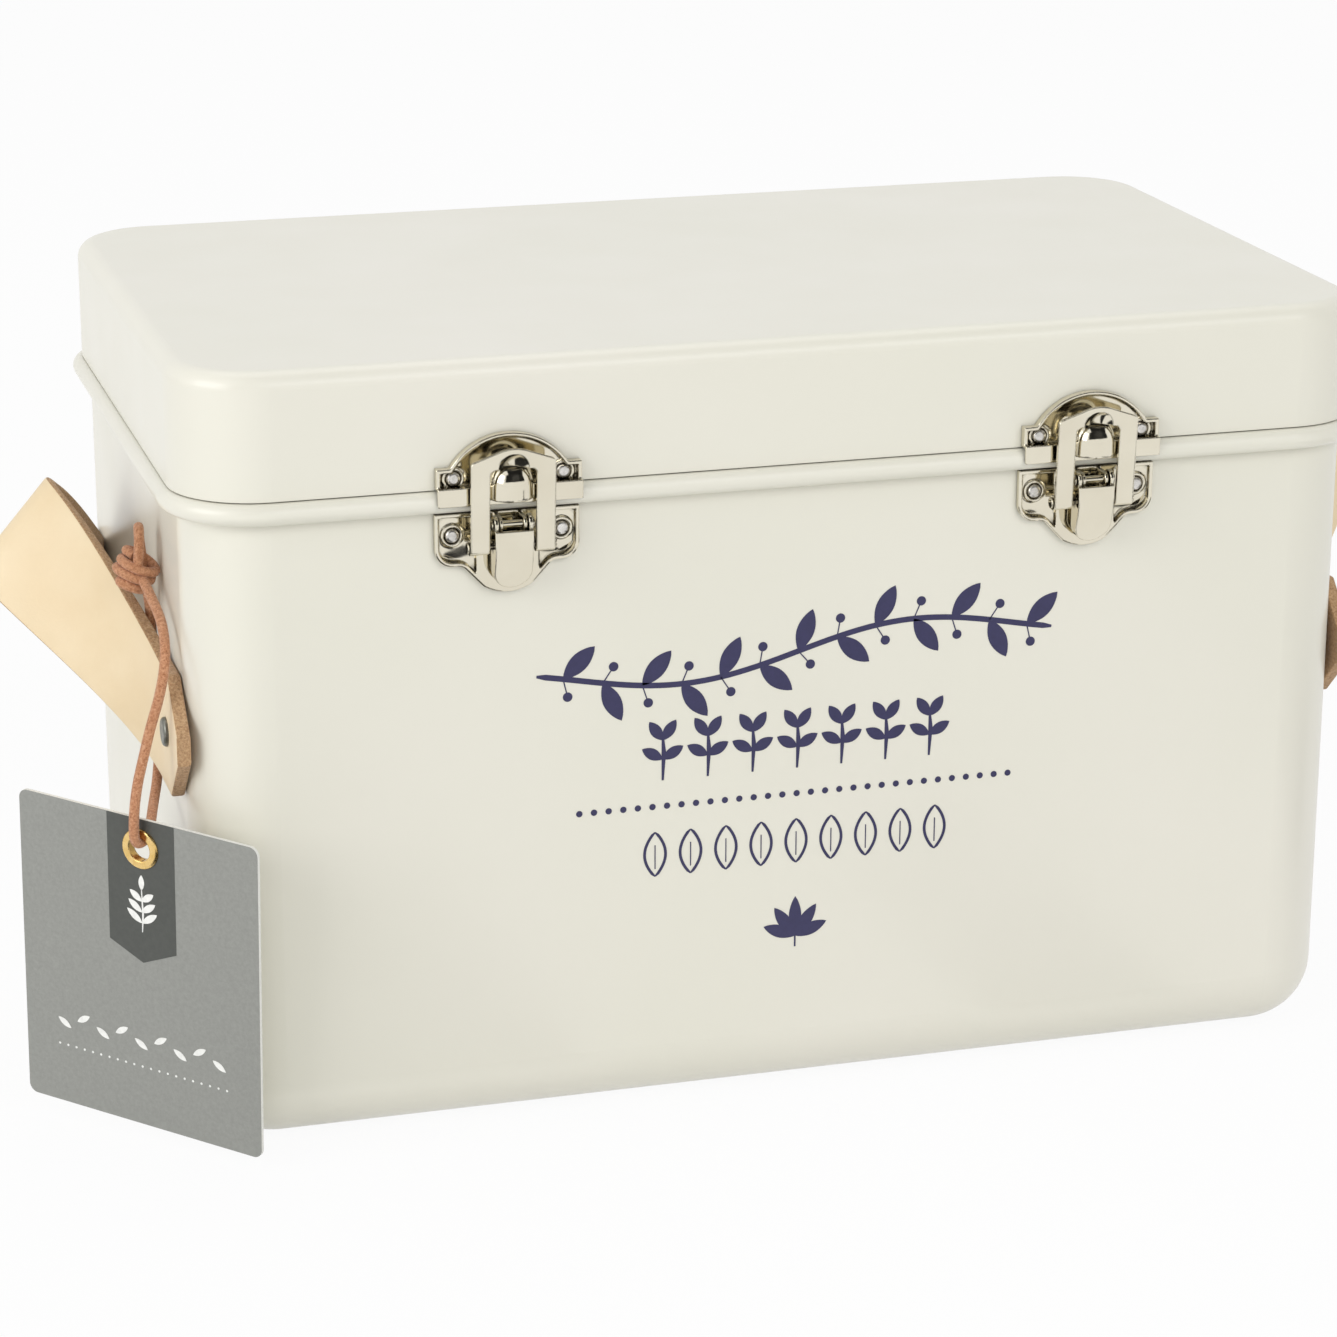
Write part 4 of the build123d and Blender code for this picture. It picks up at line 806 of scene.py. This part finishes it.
def stamped(name, node_name, material, body="root"):
    """A piece with the shape of its CAD node and softer edges, which stands for that node."""
    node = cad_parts[node_name]
    piece = new_object(name, node.data.copy(), None, body)
    remesh = piece.modifiers.new("remesh", "REMESH")
    remesh.mode = "VOXEL"
    remesh.voxel_size = STAMPED_VOXEL
    smooth = piece.modifiers.new("smooth", "SMOOTH")
    smooth.iterations = STAMPED_SMOOTHING
    mesh = evaluated_mesh(piece)
    piece.modifiers.clear()
    piece.data = mesh
    mesh.materials.clear()
    mesh.materials.append(material)
    for face in mesh.polygons:
        face.use_smooth = True
    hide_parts(node_name)
    return piece


def press_dishes(piece, side):
    """Presses a dish into the base plate's flat part below each rivet."""
    for vertex in piece.data.vertices:
        raised = BOX_FRONT - vertex.co.y > DISH_FLAT
        if raised or vertex.normal.y > DISH_FACING:
            continue
        across = (abs(vertex.co.x - side * LATCH_MIDDLE) - DISH_SIDE) / DISH_HALF_WIDTH
        up = (vertex.co.z - DISH_HEIGHT) / DISH_HALF_HEIGHT
        vertex.co.y += DISH_DEPTH * max(0.0, 1.0 - across ** 2 - up ** 2) ** 2


# ================================================================== the object's pieces
paint = cream_paint()
plate = nickel()
zinc = steel()
burnished = dull_rivet()
yellow_metal = brass()
grey_print = (linear(140, 141, 136), linear(151, 152, 147))
raw_board = (linear(226, 226, 220), linear(240, 240, 235))
buff_board = (linear(196, 178, 140), linear(206, 190, 154))
tag_normal = tag_axes()[2]
tag_board = card_board("tag_board", grey_print, raw_board, tag_normal)
divider_board = card_board("divider_board", buff_board, buff_board, tag_normal)
grain_side = leather("leather_grain", linear(231, 208, 168), linear(239, 220, 185), 0.5, 900, 0.00006)
flesh_side = suede("leather_flesh", linear(150, 114, 80), linear(182, 144, 104), linear(206, 172, 132))
cut_edge = suede("leather_edge", linear(150, 112, 78), linear(190, 152, 112), linear(216, 184, 146))
lace_leather = suede("lace_leather", linear(158, 100, 66), linear(200, 142, 104), linear(226, 176, 140))
navy = ink("navy_ink", linear(50, 48, 85))
dark_band = ink("band_ink", linear(74, 76, 72))
white_ink = ink("white_ink", linear(232, 232, 228))
number_ink = ink("number_ink", linear(70, 74, 60))

dress(paint, "body_shell", "body_bottom", "body_rim", "lid_shell", "partition", "partition_channels")
for side in SIDES:
    dress(
        plate, f"latch_lever_{side}", f"latch_frame_{side}", f"lever_pin_{side}", f"frame_pin_{side}",
        f"hinge_lid_leaf_{side}", f"hinge_body_leaf_{side}", f"hinge_pin_{side}",
    )
    dress(
        zinc, f"catch_rivets_{side}", f"base_rivets_{side}", f"hinge_lid_rivets_{side}",
        f"hinge_body_rivets_{side}",
    )
    dress(burnished, f"handle_rivets_{side}", f"handle_burrs_{side}")
dress(yellow_metal, "tag_eyelet")
dress(tag_board, "tag_card")
for number in range(1, CARD_COUNT + 1):
    dress(divider_board, f"month_card_{number:02d}")

for side_name, side in SIDES.items():
    press_dishes(stamped(f"stamped_base_{side_name}", f"base_plate_{side_name}", plate), side)
    stamped(f"stamped_catch_{side_name}", f"catch_plate_{side_name}", plate, "lid")
    make_strap(side, f"strap_{side_name}", f"handle_strap_{side_name}", (grain_side, flesh_side, cut_edge))

printed("front_print", front_outlines(), on_front, navy, "cream_paint")
printed("tag_band", pennant_outlines(), on_tag, dark_band, "tag_board")
printed("tag_sprig", tag_sprig(), lambda x, y, out: on_tag(x, y, out + INK_THICKNESS), white_ink, "tag_board")
printed("tag_foot_print", tag_foot(), on_tag, white_ink, "tag_board")
make_numbers(number_ink)

lace = lace_piece("lace", LACE_ROUTE, lace_leather)
knot = lace_piece("lace_knot", knot_points(), lace_leather)
bight = lace_piece("lace_bight", bight_points(), lace_leather)
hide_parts("tag_cord")
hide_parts("tag_knot")
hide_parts("tag_knot")


# ================================================================== stage, light and camera
def white_to_eye(tree, shaded, eye_share):
    """Mixes white into what the camera and mirrors see, and keeps the shadow below it."""
    path = tree.nodes.new("ShaderNodeLightPath")
    seen = tree.nodes.new("ShaderNodeMath")
    seen.operation = "MAXIMUM"
    tree.links.new(path.outputs["Is Camera Ray"], seen.inputs[0])
    tree.links.new(path.outputs["Is Glossy Ray"], seen.inputs[1])
    either = tree.nodes.new("ShaderNodeMath")
    either.operation = "MAXIMUM"
    tree.links.new(seen.outputs["Value"], either.inputs[0])
    tree.links.new(path.outputs["Is Transmission Ray"], either.inputs[1])
    share = tree.nodes.new("ShaderNodeMath")
    share.operation = "MULTIPLY"
    share.inputs[1].default_value = eye_share
    tree.links.new(either.outputs["Value"], share.inputs[0])
    mix = tree.nodes.new("ShaderNodeMixShader")
    tree.links.new(share.outputs["Value"], mix.inputs["Fac"])
    tree.links.new(shaded, mix.inputs[1])
    return mix


def stage_object(name, mesh, material):
    """A mesh that belongs to the studio, not to the object."""
    data = bpy.data.meshes.new(name)
    mesh.to_mesh(data)
    mesh.free()
    item = bpy.data.objects.new(name, data)
    bpy.context.scene.collection.objects.link(item)
    item.data.materials.append(material)
    return item


def make_floor():
    """A pale floor that looks nearly white and keeps a faint shadow."""
    mesh = bmesh.new()
    bmesh.ops.create_grid(mesh, x_segments=8, y_segments=8, size=FLOOR_SIZE)
    material, tree, shader = new_material("floor", 0.9)
    shader.inputs["Base Color"].default_value = (0.9, 0.9, 0.9, 1)
    white = tree.nodes.new("ShaderNodeEmission")
    white.inputs["Color"].default_value = (1, 1, 1, 1)
    mix = white_to_eye(tree, shader.outputs["BSDF"], FLOOR_EYE_SHARE)
    tree.links.new(white.outputs["Emission"], mix.inputs[2])
    tree.links.new(mix.outputs["Shader"], tree.nodes["Material Output"].inputs["Surface"])
    stage_object("floor", mesh, material)


def make_world():
    """Soft even light from all round, which the camera and mirrors see as white."""
    world = bpy.data.worlds.new("studio")
    bpy.context.scene.world = world
    world.use_nodes = True
    tree = world.node_tree
    soft = tree.nodes["Background"]
    soft.inputs["Color"].default_value = (1.0, 1.0, 1.0, 1)
    soft.inputs["Strength"].default_value = WORLD_STRENGTH
    white = tree.nodes.new("ShaderNodeBackground")
    white.inputs["Color"].default_value = (1, 1, 1, 1)
    white.inputs["Strength"].default_value = 1.0
    mix = white_to_eye(tree, soft.outputs["Background"], 1.0)
    tree.links.new(white.outputs["Background"], mix.inputs[2])
    tree.links.new(mix.outputs["Shader"], tree.nodes["World Output"].inputs["Surface"])


def area_light(name, place, width, height, power):
    """A soft box that looks at the object; `power` is in watts."""
    data = bpy.data.lights.new(name, "AREA")
    data.shape = "RECTANGLE"
    data.size = width
    data.size_y = height
    data.energy = power
    lamp = bpy.data.objects.new(name, data)
    bpy.context.scene.collection.objects.link(lamp)
    lamp.location = place
    lamp.rotation_euler = (LAMP_AIM - Vector(place)).to_track_quat("-Z", "Y").to_euler()


def dark_flag(name, start, end, near, far):
    """A black card that only mirrors see, as photographers use beside bright metal.

    It reaches from x `start` to x `end`, between two edges that are given as (y, z).
    """
    mesh = bmesh.new()
    corners = [(start, *near), (end, *near), (end, *far), (start, *far)]
    mesh.faces.new([mesh.verts.new(corner) for corner in corners])
    material, _, shader = new_material(name, 1.0)
    shader.inputs["Base Color"].default_value = (0.01, 0.01, 0.01, 1)
    flag = stage_object(name, mesh, material)
    flag.visible_camera = False
    flag.visible_diffuse = False
    flag.visible_shadow = False
    flag.visible_transmission = False


def make_camera():
    """The photograph's camera."""
    data = bpy.data.cameras.new("camera")
    data.sensor_width = SENSOR
    data.lens = CAMERA_LENS
    data.clip_end = CAMERA_REACH
    camera = bpy.data.objects.new("camera", data)
    bpy.context.scene.collection.objects.link(camera)
    back = CAMERA_RIGHT.cross(CAMERA_UP).normalized()
    turn = Matrix((CAMERA_RIGHT, CAMERA_UP, back)).transposed().to_4x4()
    camera.matrix_world = Matrix.Translation(CAMERA_PLACE) @ turn
    bpy.context.scene.camera = camera


make_floor()
make_world()
area_light("key", place=(-1.9, -0.7, 0.9), width=1.4, height=1.2, power=17)
area_light("front", place=(0.5, -1.9, 1.3), width=1.4, height=1.0, power=14.2)
area_light("top", place=(0.1, 0.6, 1.9), width=1.6, height=1.2, power=5)
dark_flag("flag_front", -1.0, 2.4, near=(-1.2, 0.4), far=(-1.2, 1.5))
for number, (start, end) in enumerate(LOW_FLAG_SPANS, 1):
    dark_flag(f"flag_low_{number}", start, end, LOW_FLAG_NEAR, LOW_FLAG_FAR)
dark_flag("flag_high", -0.7, 2.4, near=(-1.2, 1.5), far=(-0.2, 2.2))
make_camera()
bpy.context.scene.view_settings.view_transform = "Standard"
